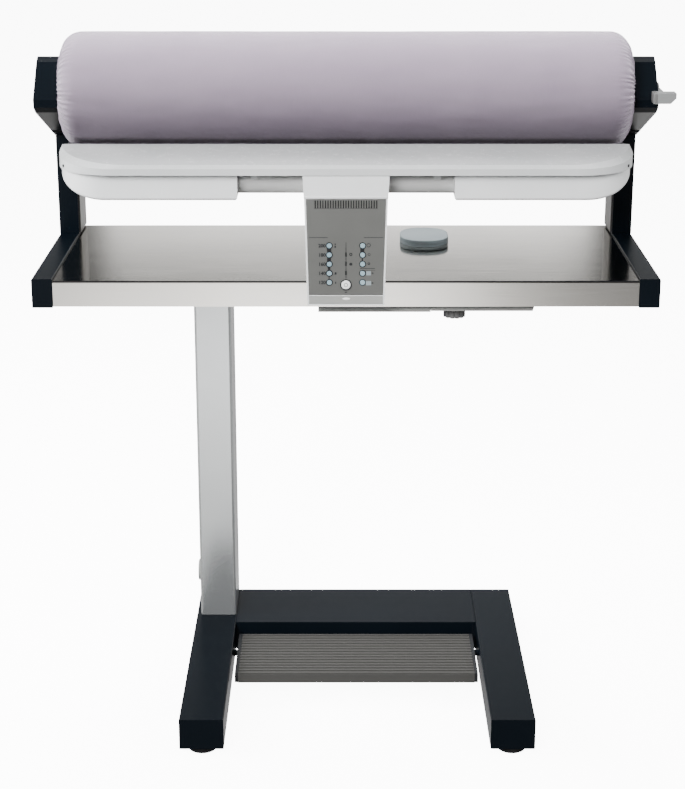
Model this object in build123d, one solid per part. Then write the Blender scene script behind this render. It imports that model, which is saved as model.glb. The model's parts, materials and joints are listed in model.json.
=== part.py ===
from build123d import *
import math
import os

# Flatwork ironer: a padded roller turns over a heated shoe, between two heads on posts,
# above a laundry table that one column carries on a U-shaped base. Millimetres.
# While it is built, X = 0 is the middle of the roller, Y = 0 the front of the side rails and
# Z = 0 the floor. save() then moves every piece so that the origin is under the middle.

# Clearances shared by many pieces
running_gap = 0.05
slide_gap = 0.1
seat_gap = 0.3
soft_gap = 0.3
press_gap = 1.2
cut_margin = 1.0
wide_margin = 20.0
quarter_turn = 90.0

# Side rails, table and posts
rail_span = 924.0
rail_width = 31.0
rail_height = 44.0
rail_top = 705.0
rail_wall = 3.0
rail_edge_radius = 2.0
table_depth = 340.0
table_top_z = 702.0
fascia_height = 39.0
table_sheet = 1.5
table_edge_radius = 3.0
post_depth = 70.0
post_top_drop = 94.5
post_cover_sheet = 2.0
post_cover_depth = 61.0

# Beam under the table and the column's head
beam_depth = 65.0
beam_height = 50.0
beam_wall = 3.0
beam_inset = 7.0
head_bracket_width = 97.0
head_bracket_depth = 165.0

# Base and column
base_left = -250.0
base_width = 534.0
base_depth = 434.0
base_reach = 134.0
leg_width = 67.0
leg_height = 49.0
leg_wall = 3.0
leg_edge_radius = 2.0
cross_depth = 122.0
foot_height = 10.0
foot_radius = 22.0
foot_inset = 26.0
foot_stud_radius = 5.0
foot_stud_length = 25.0
foot_boss_radius = 9.0
foot_chamfer = 2.5
column_left = -243.0
column_width = 59.0
column_depth = 95.0
column_wall = 3.0
column_edge_radius = 4.0
rosette_radius = 18.0
rosette_neck_radius = 11.0
rosette_neck_length = 6.0
rosette_chamfer = 1.7
rosette_reach = 5.0
rosette_setback = 35.0
rosette_z = 126.0
cable_radius = 5.0

# Foot plate between the legs
plate_depth = 135.0
plate_front = 30.0
plate_top = 45.0
plate_thickness = 10.0
plate_rib_count = 15
plate_rib_height = 1.2
plate_rib_width = 4.0
plate_rim_height = 6.0
plate_rim_wall = 3.0
plate_side_gap = 6.5
plate_cap_thickness = 5.5
plate_cap_edge_radius = 2.0
plate_pivot_y = 112.0
plate_pivot_z = 38.0
plate_pin_radius = 5.0
bumper_inset = 14.0
bumper_height = 4.0

# Roller
roller_y = 135.0
roller_z = 962.5
cover_radius = 87.0
roller_end_gap = 4.0
cover_thickness = 2.7
cover_round = 30.0
padding_thickness = 8.0
core_wall = 3.0
core_setback = 13.0
end_disc_thickness = 12.0
motor_neck_radius = 16.0
motor_radius = 42.0
motor_length = 165.0
motor_gap = 4.0
motor_flange_radius = 24.0
motor_flange_thickness = 6.0
motor_shaft_radius = 8.0
motor_shaft_length = 20.0
drive_web_thickness = 10.0
journal_radius = 15.0
journal_play = 3.0

# Heads on the posts
head_width = 35.0
head_plate_thickness = 10.0
head_cover_wall = 3.0
head_chin_y = 103.0
head_chin_drop = 29.0
head_front_y = 90.0
head_front_drop = 19.5
head_nose_y = 88.0
head_nose_drop = 7.5
head_brow_y = 132.0
head_brow_rise = 42.0
head_top_y = 142.0
head_top_rise = 48.0
head_crown = 8.0
head_rear_drop = 57.5
head_under_y = 265.0

# Hand lever on the right head
lever_reach = 21.0
lever_hub_radius = 13.0
lever_plate = 6.0
lever_pin_radius = 5.0
lever_pin_length = 12.0
lever_drop = 2.0
lever_grip_front = 64.0
lever_grip_depth = 20.0
lever_grip_height = 15.5
lever_grip_drop = 9.5
lever_grip_overlap = 12.0
lever_corner = 8.0
lever_arm_height = 14.0

# Cross tube, carriers and the shoe's pivot
tube_radius = 18.0
tube_wall = 3.0
tube_spigot_length = 17.0
tube_y = 22.0
tube_z = 848.0
carrier_setback = 55.0
carrier_thickness = 10.0
carrier_bar_top = 832.0
carrier_nose_radius = 15.0
carrier_bar_height = 24.0
carrier_neck_y = 50.0
carrier_neck_run = 26.0
carrier_neck_drop = 8.0
carrier_neck_lag = 4.0
carrier_pad_lift = 10.0
carrier_pad_lower = 4.0
carrier_rear_rise_y = 245.0
carrier_rear_top = 870.0
carrier_rear_margin = 5.0
carrier_pad_depth = 54.0
pivot_y = 305.0
pivot_z = 848.0
pivot_pin_radius = 6.0
pivot_pin_length = 18.0

# Heated shoe
shoe_setback = 12.0
shoe_thickness = 5.0
shoe_front_angle = 128.0
shoe_rear_angle = 40.0
shoe_arm_thickness = 10.0
shoe_arm_gap = 4.0
shoe_arm_eye = 15.0
shoe_arm_nose_angle = 96.0
shoe_arm_nose_drop = 6.0
shoe_arm_heel_angle = 44.0
shoe_arm_heel_margin = 4.0
heater_radius = 4.0
heater_end_gap = 6.0
heater_angles = (88.0, 58.0)
heater_gap = 0.2
shield_gap = 11.0
shield_sheet = 1.5
shield_side_gap = 2.0
shield_front_angle = 100.0
shield_rear_angle = 45.0
shield_stud_radius = 4.0
shield_stud_length = 33.0
shield_stud_room = 10.0
shield_stud_angle = 73.0
shield_stud_spots = (-300.0, -100.0, 100.0, 300.0)

# Press drive: a pinion on a gear-motor works a toothed sector under the shoe
gear_module = 2.0
sector_teeth = 228
pinion_teeth = 12
pressure_angle = 25.0
gear_backlash = 0.35
tooth_addendum = 0.95
tooth_dedendum = 1.2
flank_points = 5
closest_points = 0.001
sector_width = 10.0
pinion_width = 12.0
pinion_z = 826.0
sector_rim = 10.0
sector_teeth_above = 6
sector_teeth_below = 3
pinion_shaft_radius = 5.0
pinion_shaft_length = 22.0
press_motor_radius = 15.0
press_motor_length = 40.0
press_motor_gap = 7.0
press_motor_foot = 24.0
press_motor_foot_height = 5.0
sector_slot_side = 3.0
sector_slot_drop = 62.0
shelf_thickness = 3.0

# Feed tray with its lip and the housings below it
tray_setback = 3.5
tray_front = -32.0
tray_rear = 71.0
tray_front_z = 881.2
tray_rear_z = 892.3
tray_lip = 14.2
tray_sheet = 2.5
tray_corner = 85.0
tray_bevel_drop = 4.5
tray_bevel_front = 3.6
tray_bevel_side = 1.0
tray_bevel_corner = 110.0
tray_bevel_flare = 0.5
housing_setback = 14.0
housing_end_inset = 2.8
housing_console_gap = 94.0
housing_bottom = 827.0
housing_rear_inset = 15.0
housing_wall = 2.5
housing_drop = 8.0
housing_round_length = 70.0
housing_round_height = 34.0
housing_edge = 5.0
clamp_carrier_gap = 28.0
clamp_housing_gap = 24.0
clamp_width = 10.0
clamp_margin = 7.0
clamp_bottom = 831.0
clamp_tip_rise = 7.0
screw_radius = 1.6
screw_head_radius = 2.4
screw_head_height = 0.8
screw_length = 4.0
screw_angle = 30.0
screw_z = 872.5

# Console with its panel
console_front = -31.0
console_top = 833.0
console_bottom = 674.0
console_top_half = 60.0
console_bottom_half = 56.0
console_wall = 2.5
console_rear = 86.0
console_rear_top = 852.0
console_head_half = 62.0
console_head_rear = 44.0
console_head_top = 866.0
console_head_crown = 6.0
console_lip_gap = 0.5
panel_thickness = 3.0
panel_groove_z = 689.5
panel_groove_height = 1.5
panel_groove_depth = 1.0
vent_count = 25
vent_span = 88.0
vent_width = 1.6
vent_low = 818.2
vent_high = 830.7
board_half = 47.0
board_low = 694.0
board_high = 814.0
board_thickness = 1.6
board_distance = 9.0
standoff_radius = 3.0
standoff_inset = 6.0
key_radius = 3.6
key_x = 24.0
key_top_z = 764.0
key_pitch = 13.75
key_count = 5
key_proud = 0.8
key_edge_radius = 0.4
key_travel = 0.5
button_radius = 6.5
button_z = 705.6
button_proud = 1.8
button_chamfer = 0.6
button_travel = 1.5
button_ring_width = 1.9
button_ring_proud = 0.6

# Water tank, pump box, filler lid and drain knob under the table
tank_left = 126.0
tank_right = 291.0
tank_front = 14.0
tank_beam_gap = 6.0
tank_drop = 48.5
tank_wall = 3.0
tank_slant = 14.0
chute_drop = 26.0
pump_left = -41.0
pump_drop = 50.0
pump_depth = 156.0
pump_tank_gap = 0.4
lid_x = 125.0
lid_radius = 38.5
lid_height = 12.0
lid_slab = 5.0
lid_slab_width = 76.0
lid_slab_depth = 86.0
lid_slab_corner = 33.0
lid_slab_edge = 1.5
lid_plug_depth = 10.0
neck_radius = 30.0
neck_wall = 3.0
knob_x = 163.0
knob_y = 50.0
knob_radius = 16.5
knob_height = 18.0
knob_stem_radius = 6.0
knob_flutes = 12
knob_flute_radius = 2.0

# Places worked out from the sizes above
rail_outer = rail_span / 2
rail_inner = rail_outer - rail_width
rail_bottom = rail_top - rail_height
table_bottom = table_top_z - fascia_height
table_under = table_top_z - table_sheet
post_front = table_depth - post_depth
beam_rear = table_depth - beam_inset
beam_front = beam_rear - beam_depth
beam_bottom = table_under - beam_height
base_right = base_left + base_width
base_front = -base_reach
base_rear = base_depth - base_reach
base_top = foot_height + leg_height
left_leg_inner = base_left + leg_width
right_leg_inner = base_right - leg_width
column_rear = base_rear
column_front = column_rear - column_depth
rosette_y = column_front + rosette_setback
head_inner = rail_outer - head_width
head_cover_inner = head_inner + head_plate_thickness
lever_grip_inner = rail_outer - lever_grip_overlap
cover_half_length = head_inner - roller_end_gap
core_half_length = cover_half_length - core_setback
shoe_half_length = cover_half_length - shoe_setback
tray_half_length = cover_half_length - tray_setback
carrier_inner = cover_half_length - carrier_setback
housing_inner = console_head_half + housing_console_gap
clamp_outer = carrier_inner - clamp_carrier_gap
clamp_inner = housing_inner - clamp_housing_gap
clamp_spots = (-clamp_outer, -clamp_inner, clamp_inner, clamp_outer)
tank_rear = beam_front - tank_beam_gap
lid_y = tank_rear - neck_radius
post_cover_face = rail_inner - post_cover_sheet
shoe_inner_radius = cover_radius + press_gap
shoe_outer_radius = shoe_inner_radius + shoe_thickness
shield_inner_radius = shoe_outer_radius + shield_gap
padding_radius = cover_radius - cover_thickness - soft_gap
core_radius = padding_radius - padding_thickness
core_bore = core_radius - core_wall
carrier_outer = carrier_inner + carrier_thickness
carrier_bar_bottom = carrier_bar_top - carrier_bar_height
carrier_rear = table_depth - carrier_rear_margin
arm_outer = carrier_inner - shoe_arm_gap
arm_inner = arm_outer - shoe_arm_thickness
sector_radius = gear_module * sector_teeth / 2
pinion_radius = gear_module * pinion_teeth / 2
gear_distance = sector_radius + pinion_radius
mesh_angle = 180.0 + math.degrees(math.asin((pivot_z - pinion_z) / gear_distance))
pinion_y = pivot_y - math.sqrt(gear_distance**2 - (pivot_z - pinion_z) ** 2)
lip_bottom = tray_front_z - tray_lip
tray_slope = (tray_rear_z - tray_front_z) / (tray_rear - tray_front)
panel_back = console_front + panel_thickness
board_front = panel_back + board_distance
head_chin_z = roller_z - head_chin_drop
head_front_z = roller_z - head_front_drop
head_nose_z = roller_z - head_nose_drop
head_rear_z = roller_z - head_rear_drop
post_top = roller_z - post_top_drop
head_brow_z = roller_z + head_brow_rise
head_top_z = roller_z + head_top_rise
lever_z = roller_z - lever_drop
right_reach = rail_outer + lever_reach
frame_x = -(right_reach - rail_outer) / 2
frame_y = -(table_depth - base_reach) / 2


def block(x_range, y_range, z_range):
    size = [high - low for low, high in (x_range, y_range, z_range)]
    middle = [(high + low) / 2 for low, high in (x_range, y_range, z_range)]
    return Pos(*middle) * Box(*size)


def rod_x(radius, x_range, y, z):
    low, high = sorted(x_range)
    return Pos((low + high) / 2, y, z) * Rot(0, 90, 0) * Cylinder(radius, high - low)


def rod_y(radius, y_range, x, z):
    low, high = sorted(y_range)
    return Pos(x, (low + high) / 2, z) * Rot(90, 0, 0) * Cylinder(radius, high - low)


def rod_z(radius, z_range, x, y):
    low, high = sorted(z_range)
    return Pos(x, y, (low + high) / 2) * Cylinder(radius, high - low)


def prism_x(outline, x_range):
    low, high = sorted(x_range)
    face = make_face(Polyline(outline, close=True))
    return extrude(Plane.YZ.offset(low) * face, amount=high - low)


def prism_y(outline, y_range):
    low, high = sorted(y_range)
    face = make_face(Polyline(outline, close=True))
    return extrude(Plane.XZ.offset(-high) * face, amount=high - low)


def around_roller(radius, degrees_below):
    """Point at a radius from the roller's axis; 0 degrees is level to the rear, 90 straight down."""
    turn = math.radians(degrees_below)
    return roller_y + radius * math.cos(turn), roller_z - radius * math.sin(turn)


def mirrored(side, low, high):
    return (low, high) if side > 0 else (-high, -low)


def softened(solid, axis, radius):
    return fillet(solid.edges().filter_by(axis), radius)


def save(name, piece):
    moved = Pos(frame_x, frame_y, 0) * piece
    export_step(moved, f"parts/{name}.step")


# Base -------------------------------------------------------------------


def foot_spots():
    spots = []
    for x in (base_left + leg_width / 2, base_right - leg_width / 2):
        for y in (base_front + foot_inset, base_rear - foot_inset):
            spots.append((x, y))
    return spots


def leg(left, right):
    outer = block((left, right), (base_front, base_rear), (foot_height, base_top))
    outer = softened(outer, Axis.Y, leg_edge_radius)
    hollow = block(
        (left + leg_wall, right - leg_wall),
        (base_front + leg_wall, base_rear - leg_wall),
        (foot_height + leg_wall, base_top - leg_wall),
    )
    piece = outer - hollow
    for x, y in foot_spots():
        if left < x < right:
            piece += rod_z(foot_boss_radius, (foot_height, base_top - leg_wall), x, y)
            stud_top = foot_height + foot_stud_length
            piece -= rod_z(foot_stud_radius + slide_gap, (0, stud_top + seat_gap), x, y)
    return piece


def left_leg():
    pin = rod_x(
        plate_pin_radius,
        (left_leg_inner - leg_wall, left_leg_inner + plate_side_gap + plate_cap_thickness - seat_gap),
        plate_pivot_y,
        plate_pivot_z,
    )
    return leg(base_left, left_leg_inner) + pin


def right_leg():
    pin = rod_x(
        plate_pin_radius,
        (right_leg_inner - plate_side_gap - plate_cap_thickness + seat_gap, right_leg_inner + leg_wall),
        plate_pivot_y,
        plate_pivot_z,
    )
    return leg(right_leg_inner, base_right) + pin


def rear_beam():
    front = base_rear - cross_depth
    outer = block((left_leg_inner, right_leg_inner), (front, base_rear), (foot_height, base_top))
    hollow = block(
        (left_leg_inner, right_leg_inner),
        (front + leg_wall, base_rear - leg_wall),
        (foot_height + leg_wall, base_top - leg_wall),
    )
    return outer - hollow


def levelling_feet():
    feet = []
    for x, y in foot_spots():
        pad = rod_z(foot_radius, (0, foot_height), x, y)
        pad = chamfer(pad.edges().group_by(Axis.Z)[-1], foot_chamfer)
        feet.append(pad + rod_z(foot_stud_radius, (foot_height, foot_height + foot_stud_length), x, y))
    return Compound(feet)


def column():
    outer = block(
        (column_left, column_left + column_width), (column_front, column_rear), (base_top, beam_bottom)
    )
    outer = softened(outer, Axis.Z, column_edge_radius)
    hollow = block(
        (column_left + column_wall, column_left + column_width - column_wall),
        (column_front + column_wall, column_rear - column_wall),
        (base_top, beam_bottom),
    )
    way_out = rod_x(
        rosette_neck_radius + slide_gap,
        (column_left - cut_margin, column_left + column_wall + cut_margin),
        rosette_y,
        rosette_z,
    )
    return outer - hollow - way_out


def cable_rosette():
    disc = rod_x(rosette_radius, (column_left - rosette_reach, column_left), rosette_y, rosette_z)
    disc = chamfer(disc.edges().group_by(Axis.X)[0], rosette_chamfer)
    neck = rod_x(rosette_neck_radius, (column_left, column_left + rosette_neck_length), rosette_y, rosette_z)
    hole = rod_x(
        cable_radius, (column_left - rosette_reach, column_left + rosette_neck_length), rosette_y, rosette_z
    )
    return disc + neck - hole


# Foot plate -------------------------------------------------------------


def foot_plate():
    left = left_leg_inner + plate_side_gap + plate_cap_thickness
    right = right_leg_inner - plate_side_gap - plate_cap_thickness
    rear = plate_front + plate_depth
    floor_top = plate_top - plate_rib_height
    under = plate_top - plate_thickness
    piece = block((left, right), (plate_front, rear), (under, floor_top))
    pitch = plate_depth / plate_rib_count
    for number in range(plate_rib_count):
        y = plate_front + pitch * (number + 0.5)
        piece += block(
            (left, right), (y - plate_rib_width / 2, y + plate_rib_width / 2), (floor_top, plate_top)
        )
    for y in (plate_front, rear - plate_rim_wall):
        piece += block((left, right), (y, y + plate_rim_wall), (under - plate_rim_height, under))
    return piece


def foot_plate_caps():
    rear = plate_front + plate_depth
    low = plate_top - plate_thickness - plate_rim_height
    caps = []
    for start in (left_leg_inner + plate_side_gap, right_leg_inner - plate_side_gap - plate_cap_thickness):
        end = start + plate_cap_thickness
        cap = block((start, end), (plate_front, rear), (low, plate_top))
        cap = softened(cap, Axis.X, plate_cap_edge_radius)
        cap -= rod_x(plate_pin_radius + running_gap, (start, end), plate_pivot_y, plate_pivot_z)
        middle = (start + end) / 2
        for y in (plate_front + bumper_inset, rear - bumper_inset):
            cap += rod_z(plate_cap_thickness / 2, (low - bumper_height, low), middle, y)
        caps.append(cap)
    return Compound(caps)


# Table, rails and posts -------------------------------------------------


def side_rail(side):
    outer = block(mirrored(side, rail_inner, rail_outer), (0, table_depth), (rail_bottom, rail_top))
    outer = softened(outer, Axis.Y, rail_edge_radius)
    hollow = block(
        mirrored(side, rail_inner + rail_wall, rail_outer - rail_wall),
        (rail_wall, table_depth),
        (rail_bottom + rail_wall, rail_top - rail_wall),
    )
    return outer - hollow


def side_post(side):
    outer = block(mirrored(side, rail_inner, rail_outer), (post_front, table_depth), (rail_top, post_top))
    hollow = block(
        mirrored(side, rail_inner + rail_wall, rail_outer - rail_wall),
        (post_front + rail_wall, table_depth - rail_wall),
        (rail_top, post_top),
    )
    return outer - hollow


def post_covers():
    covers = []
    for side in (-1, 1):
        covers.append(
            block(
                mirrored(side, post_cover_face, rail_inner),
                (table_depth - post_cover_depth, table_depth),
                (rail_top, post_top),
            )
        )
    return Compound(covers)


def table_top():
    half = rail_inner - seat_gap
    outer = block((-half, half), (0, table_depth), (table_bottom, table_top_z))
    outer = fillet(outer.edges().filter_by(Axis.X).group_by(Axis.Z)[-1], table_edge_radius)
    hollow = block(
        (-half + table_sheet, half - table_sheet),
        (table_sheet, table_depth - table_sheet),
        (table_bottom, table_under),
    )
    neck_hole = rod_z(neck_radius + slide_gap, (table_under, table_top_z), lid_x, lid_y)
    return outer - hollow - neck_hole


def table_beam():
    outer = block((-rail_inner, rail_inner), (beam_front, beam_rear), (beam_bottom, table_under))
    hollow = block(
        (-rail_inner, rail_inner),
        (beam_front + beam_wall, beam_rear - beam_wall),
        (beam_bottom + beam_wall, table_under - beam_wall),
    )
    edge = table_sheet + seat_gap + slide_gap
    beam = outer - hollow
    for side in (-1, 1):
        skin = mirrored(side, rail_inner - edge, rail_inner - seat_gap)
        beam -= block(skin, (beam_front, beam_rear), (table_bottom - seat_gap, table_under))
    middle = column_left + column_width / 2
    bracket = block(
        (middle - head_bracket_width / 2, middle + head_bracket_width / 2),
        (beam_front - head_bracket_depth, beam_front),
        (beam_bottom, table_under),
    )
    recess = block(
        (middle - head_bracket_width / 2 + beam_wall, middle + head_bracket_width / 2 - beam_wall),
        (beam_front - head_bracket_depth + beam_wall, beam_front),
        (beam_bottom + beam_wall, table_under),
    )
    return beam + (bracket - recess)


# Heads ------------------------------------------------------------------


def head_outline():
    return [
        (head_chin_y, head_chin_z),
        (head_front_y, head_front_z),
        (head_nose_y, head_nose_z),
        (head_brow_y, head_brow_z),
        (head_top_y, head_top_z),
        (head_top_y + head_crown, head_top_z),
        (table_depth, head_rear_z),
        (table_depth, post_top),
        (head_under_y, post_top),
    ]


def drawn_in(outline, wall):
    """The clockwise outline with every side moved inwards by the wall."""
    points = []
    for before, corner, after in zip([outline[-1]] + outline[:-1], outline, outline[1:] + [outline[0]]):
        arriving = (Vector(*corner) - Vector(*before)).normalized()
        leaving = (Vector(*after) - Vector(*corner)).normalized()
        normals = Vector(arriving.Y + leaving.Y, -arriving.X - leaving.X)
        moved = Vector(*corner) + normals * (wall / (1 + arriving.dot(leaving)))
        points.append((moved.X, moved.Y))
    return points


def head_plate(side):
    plate = prism_x(head_outline(), mirrored(side, head_inner, head_cover_inner))
    if side < 0:
        plate -= rod_x(motor_neck_radius, mirrored(side, head_inner, head_cover_inner), roller_y, roller_z)
    else:
        stub_start = core_half_length - end_disc_thickness + journal_play
        plate += rod_x(journal_radius, (stub_start, head_inner), roller_y, roller_z)
    return plate


def head_cover(side):
    shell = prism_x(head_outline(), mirrored(side, head_cover_inner, rail_outer))
    hollow = prism_x(
        drawn_in(head_outline(), head_cover_wall),
        mirrored(side, head_cover_inner, rail_outer - head_cover_wall),
    )
    shell -= hollow
    if side > 0:
        boss_start = rail_outer - lever_pin_length
        shell += rod_x(lever_hub_radius, (boss_start, rail_outer), roller_y, lever_z)
        shell -= rod_x(lever_pin_radius + running_gap, (boss_start, rail_outer), roller_y, lever_z)
    return shell


def release_lever():
    near = rail_outer + seat_gap
    far = near + lever_plate
    grip_rear = lever_grip_front + lever_grip_depth
    hub = rod_x(lever_hub_radius, (near, far), roller_y, lever_z)
    pin = rod_x(lever_pin_radius, (rail_outer - lever_pin_length + seat_gap, near), roller_y, lever_z)
    arm_low = lever_z - lever_arm_height / 2
    arm = block((near, far), (lever_grip_front, roller_y), (arm_low, arm_low + lever_arm_height))
    low = roller_z - lever_grip_drop
    grip = block(
        (lever_grip_inner, right_reach), (lever_grip_front, grip_rear), (low, low + lever_grip_height)
    )
    corner = [
        (right_reach - lever_corner, low),
        (right_reach, low),
        (right_reach, low + lever_corner),
    ]
    grip -= prism_y(corner, (lever_grip_front, grip_rear))
    return hub + pin + arm + grip


# Roller -----------------------------------------------------------------


def drive_motor():
    disc_face = -(core_half_length - end_disc_thickness)
    body_start = disc_face + motor_gap
    body_end = body_start + motor_length
    flange_face = -head_cover_inner - motor_flange_thickness
    flange = rod_x(motor_flange_radius, (flange_face, -head_cover_inner), roller_y, roller_z)
    neck = rod_x(motor_neck_radius, (-head_cover_inner, body_start), roller_y, roller_z)
    body = rod_x(motor_radius, (body_start, body_end), roller_y, roller_z)
    socket = rod_x(
        motor_shaft_radius + running_gap,
        (body_end - motor_shaft_length - seat_gap, body_end),
        roller_y,
        roller_z,
    )
    return flange + neck + body - socket


def roller_core():
    tube = rod_x(core_radius, (-core_half_length, core_half_length), roller_y, roller_z)
    tube -= rod_x(core_bore, (-core_half_length, core_half_length), roller_y, roller_z)
    web_start = -(core_half_length - end_disc_thickness) + motor_gap + motor_length + motor_gap
    web = rod_x(core_bore, (web_start, web_start + drive_web_thickness), roller_y, roller_z)
    shaft = rod_x(
        motor_shaft_radius, (web_start - motor_gap - motor_shaft_length, web_start), roller_y, roller_z
    )
    return tube + web + shaft


def end_disc(side):
    span = mirrored(side, core_half_length - end_disc_thickness, core_half_length)
    bore = motor_neck_radius if side < 0 else journal_radius
    disc = rod_x(core_bore, span, roller_y, roller_z)
    return disc - rod_x(bore + running_gap, span, roller_y, roller_z)


def turned_about_roller(outline):
    """Revolve an (x, radius) wire, given as a closed list of edges, about the roller's axis."""
    face = Plane.XY * make_face(outline)
    solid = revolve(face, Axis.X)
    return Pos(0, roller_y, roller_z) * solid


def roller_padding():
    straight = cover_half_length - cover_round
    inner = core_radius + soft_gap
    taper_x = core_half_length - soft_gap
    depth = taper_x - straight
    ring = cover_round - cover_thickness - soft_gap
    taper_radius = cover_radius - cover_round + math.sqrt(ring**2 - depth**2) - soft_gap
    outline = Polyline(
        (-taper_x, inner),
        (taper_x, inner),
        (taper_x, taper_radius),
        (straight, padding_radius),
        (-straight, padding_radius),
        (-taper_x, taper_radius),
        close=True,
    )
    return turned_about_roller(outline)


def roller_cover():
    straight = cover_half_length - cover_round
    low = cover_radius - cover_round
    bend = cover_round / math.sqrt(2)
    inner_round = cover_round - cover_thickness
    inner_bend = inner_round / math.sqrt(2)
    right_out = ThreePointArc(
        (cover_half_length, low), (straight + bend, low + bend), (straight, cover_radius)
    )
    top = Line((straight, cover_radius), (-straight, cover_radius))
    left_out = ThreePointArc(
        (-straight, cover_radius), (-straight - bend, low + bend), (-cover_half_length, low)
    )
    left_rim = Line((-cover_half_length, low), (-straight - inner_round, low))
    left_in = ThreePointArc(
        (-straight - inner_round, low),
        (-straight - inner_bend, low + inner_bend),
        (-straight, low + inner_round),
    )
    under = Line((-straight, low + inner_round), (straight, low + inner_round))
    right_in = ThreePointArc(
        (straight, low + inner_round), (straight + inner_bend, low + inner_bend), (straight + inner_round, low)
    )
    right_rim = Line((straight + inner_round, low), (cover_half_length, low))
    return turned_about_roller([right_out, top, left_out, left_rim, left_in, under, right_in, right_rim])


# Carriers and cross tube ------------------------------------------------


def carrier(side):
    outline = [
        (tube_y, tube_z - carrier_nose_radius),
        (carrier_neck_y + carrier_neck_drop, tube_z - carrier_nose_radius),
        (carrier_neck_y + carrier_neck_run + carrier_neck_lag, carrier_bar_bottom),
        (carrier_rear, carrier_bar_bottom),
        (carrier_rear, carrier_rear_top),
        (carrier_rear_rise_y + carrier_bar_height, carrier_rear_top),
        (carrier_rear_rise_y, carrier_bar_top),
        (carrier_neck_y + carrier_neck_run, carrier_bar_top),
        (carrier_neck_y, tube_z + carrier_nose_radius),
        (tube_y, tube_z + carrier_nose_radius),
    ]
    span = mirrored(side, carrier_inner, carrier_outer)
    piece = prism_x(outline, span)
    piece += rod_x(carrier_nose_radius, span, tube_y, tube_z)
    spigot = mirrored(side, carrier_inner - tube_spigot_length, carrier_inner)
    piece += rod_x(tube_radius - tube_wall, spigot, tube_y, tube_z)
    pin = mirrored(side, carrier_inner - pivot_pin_length, carrier_inner)
    piece += rod_x(pivot_pin_radius, pin, pivot_y, pivot_z)
    piece += block(
        mirrored(side, carrier_outer, post_cover_face),
        (carrier_rear - carrier_pad_depth, carrier_rear),
        (carrier_bar_bottom + carrier_pad_lift, carrier_rear_top - carrier_pad_lower),
    )
    return piece


def cross_tube():
    tube = rod_x(tube_radius, (-carrier_inner, carrier_inner), tube_y, tube_z)
    return tube - rod_x(tube_radius - tube_wall, (-carrier_inner, carrier_inner), tube_y, tube_z)


# Heated shoe ------------------------------------------------------------


def trough(inner, outer, front, rear, half_length):
    """Part of a ring about the roller's axis, between two angles below the level."""
    middle = (front + rear) / 2
    outline = [
        ThreePointArc(around_roller(inner, front), around_roller(inner, middle), around_roller(inner, rear)),
        Line(around_roller(inner, rear), around_roller(outer, rear)),
        ThreePointArc(around_roller(outer, rear), around_roller(outer, middle), around_roller(outer, front)),
        Line(around_roller(outer, front), around_roller(inner, front)),
    ]
    face = Plane.YZ.offset(-half_length) * make_face(outline)
    return extrude(face, amount=2 * half_length)


def heated_shoe():
    return trough(shoe_inner_radius, shoe_outer_radius, shoe_front_angle, shoe_rear_angle, shoe_half_length)


def shoe_heaters():
    rods = []
    for angle in heater_angles:
        y, z = around_roller(shoe_outer_radius + heater_gap + heater_radius, angle)
        rods.append(rod_x(heater_radius, (heater_end_gap - arm_inner, arm_inner - heater_end_gap), y, z))
    return Compound(rods)


def shoe_shield():
    outer = shield_inner_radius + shield_sheet
    half = arm_inner - shield_side_gap
    piece = trough(shield_inner_radius, outer, shield_front_angle, shield_rear_angle, half)
    stud_y, stud_z = around_roller(shoe_outer_radius, shield_stud_angle)
    for x in shield_stud_spots:
        turned = Rot(-(90 - shield_stud_angle), 0, 0)
        stud = Cylinder(shield_stud_radius, shield_stud_length, align=(Align.CENTER, Align.CENTER, Align.MAX))
        whole = Pos(x, stud_y, stud_z) * turned * Pos(0, 0, shield_gap) * stud
        room = (x - shield_stud_room, x + shield_stud_room)
        keep = rod_x(shield_inner_radius + shield_sheet / 2, room, roller_y, roller_z)
        keep -= rod_x(shoe_outer_radius, room, roller_y, roller_z)
        piece += whole & keep
    return piece


def shoe_arms():
    eye_low = pivot_z - shoe_arm_eye
    eye_high = pivot_z + shoe_arm_eye
    nose_y, nose_z = around_roller(shoe_outer_radius, shoe_arm_nose_angle)
    heel_y, heel_z = around_roller(shoe_outer_radius, shoe_arm_heel_angle)
    outline = [
        (nose_y, nose_z - shoe_arm_nose_drop),
        (pivot_y - shoe_arm_eye, eye_low),
        (pivot_y, eye_low),
        (pivot_y, eye_high),
        (pivot_y - shoe_arm_eye, eye_high + shoe_arm_heel_margin),
        (heel_y + shoe_arm_heel_margin, heel_z),
        (nose_y, heel_z),
    ]
    arms = []
    for side in (-1, 1):
        span = mirrored(side, arm_inner, arm_outer)
        arm = prism_x(outline, span) + rod_x(shoe_arm_eye, span, pivot_y, pivot_z)
        arm -= rod_x(shoe_outer_radius, span, roller_y, roller_z)
        arm -= rod_x(pivot_pin_radius + running_gap, span, pivot_y, pivot_z)
        arms.append(arm)
    return Compound(arms)


# Press drive ------------------------------------------------------------


def involute_angle(radius, base_radius):
    lean = math.acos(min(1.0, base_radius / radius))
    return math.tan(lean) - lean


def tooth_outline(teeth, centre_angle):
    """One tooth of a spur gear as (radius, angle) pairs, from root to tip and back to the root."""
    pitch = gear_module * teeth / 2
    base = pitch * math.cos(math.radians(pressure_angle))
    tip = pitch + tooth_addendum * gear_module
    root = pitch - tooth_dedendum * gear_module
    half = math.pi / (2 * teeth) - gear_backlash / (4 * pitch)
    at_pitch = involute_angle(pitch, base)
    start = max(base, root)
    flank = [(root, half + at_pitch - involute_angle(start, base))]
    for number in range(flank_points):
        radius = start + (tip - start) * number / (flank_points - 1)
        flank.append((radius, half + at_pitch - involute_angle(radius, base)))
    rising = [(radius, centre_angle - angle) for radius, angle in flank]
    falling = [(radius, centre_angle + angle) for radius, angle in reversed(flank)]
    return rising + falling


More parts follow.
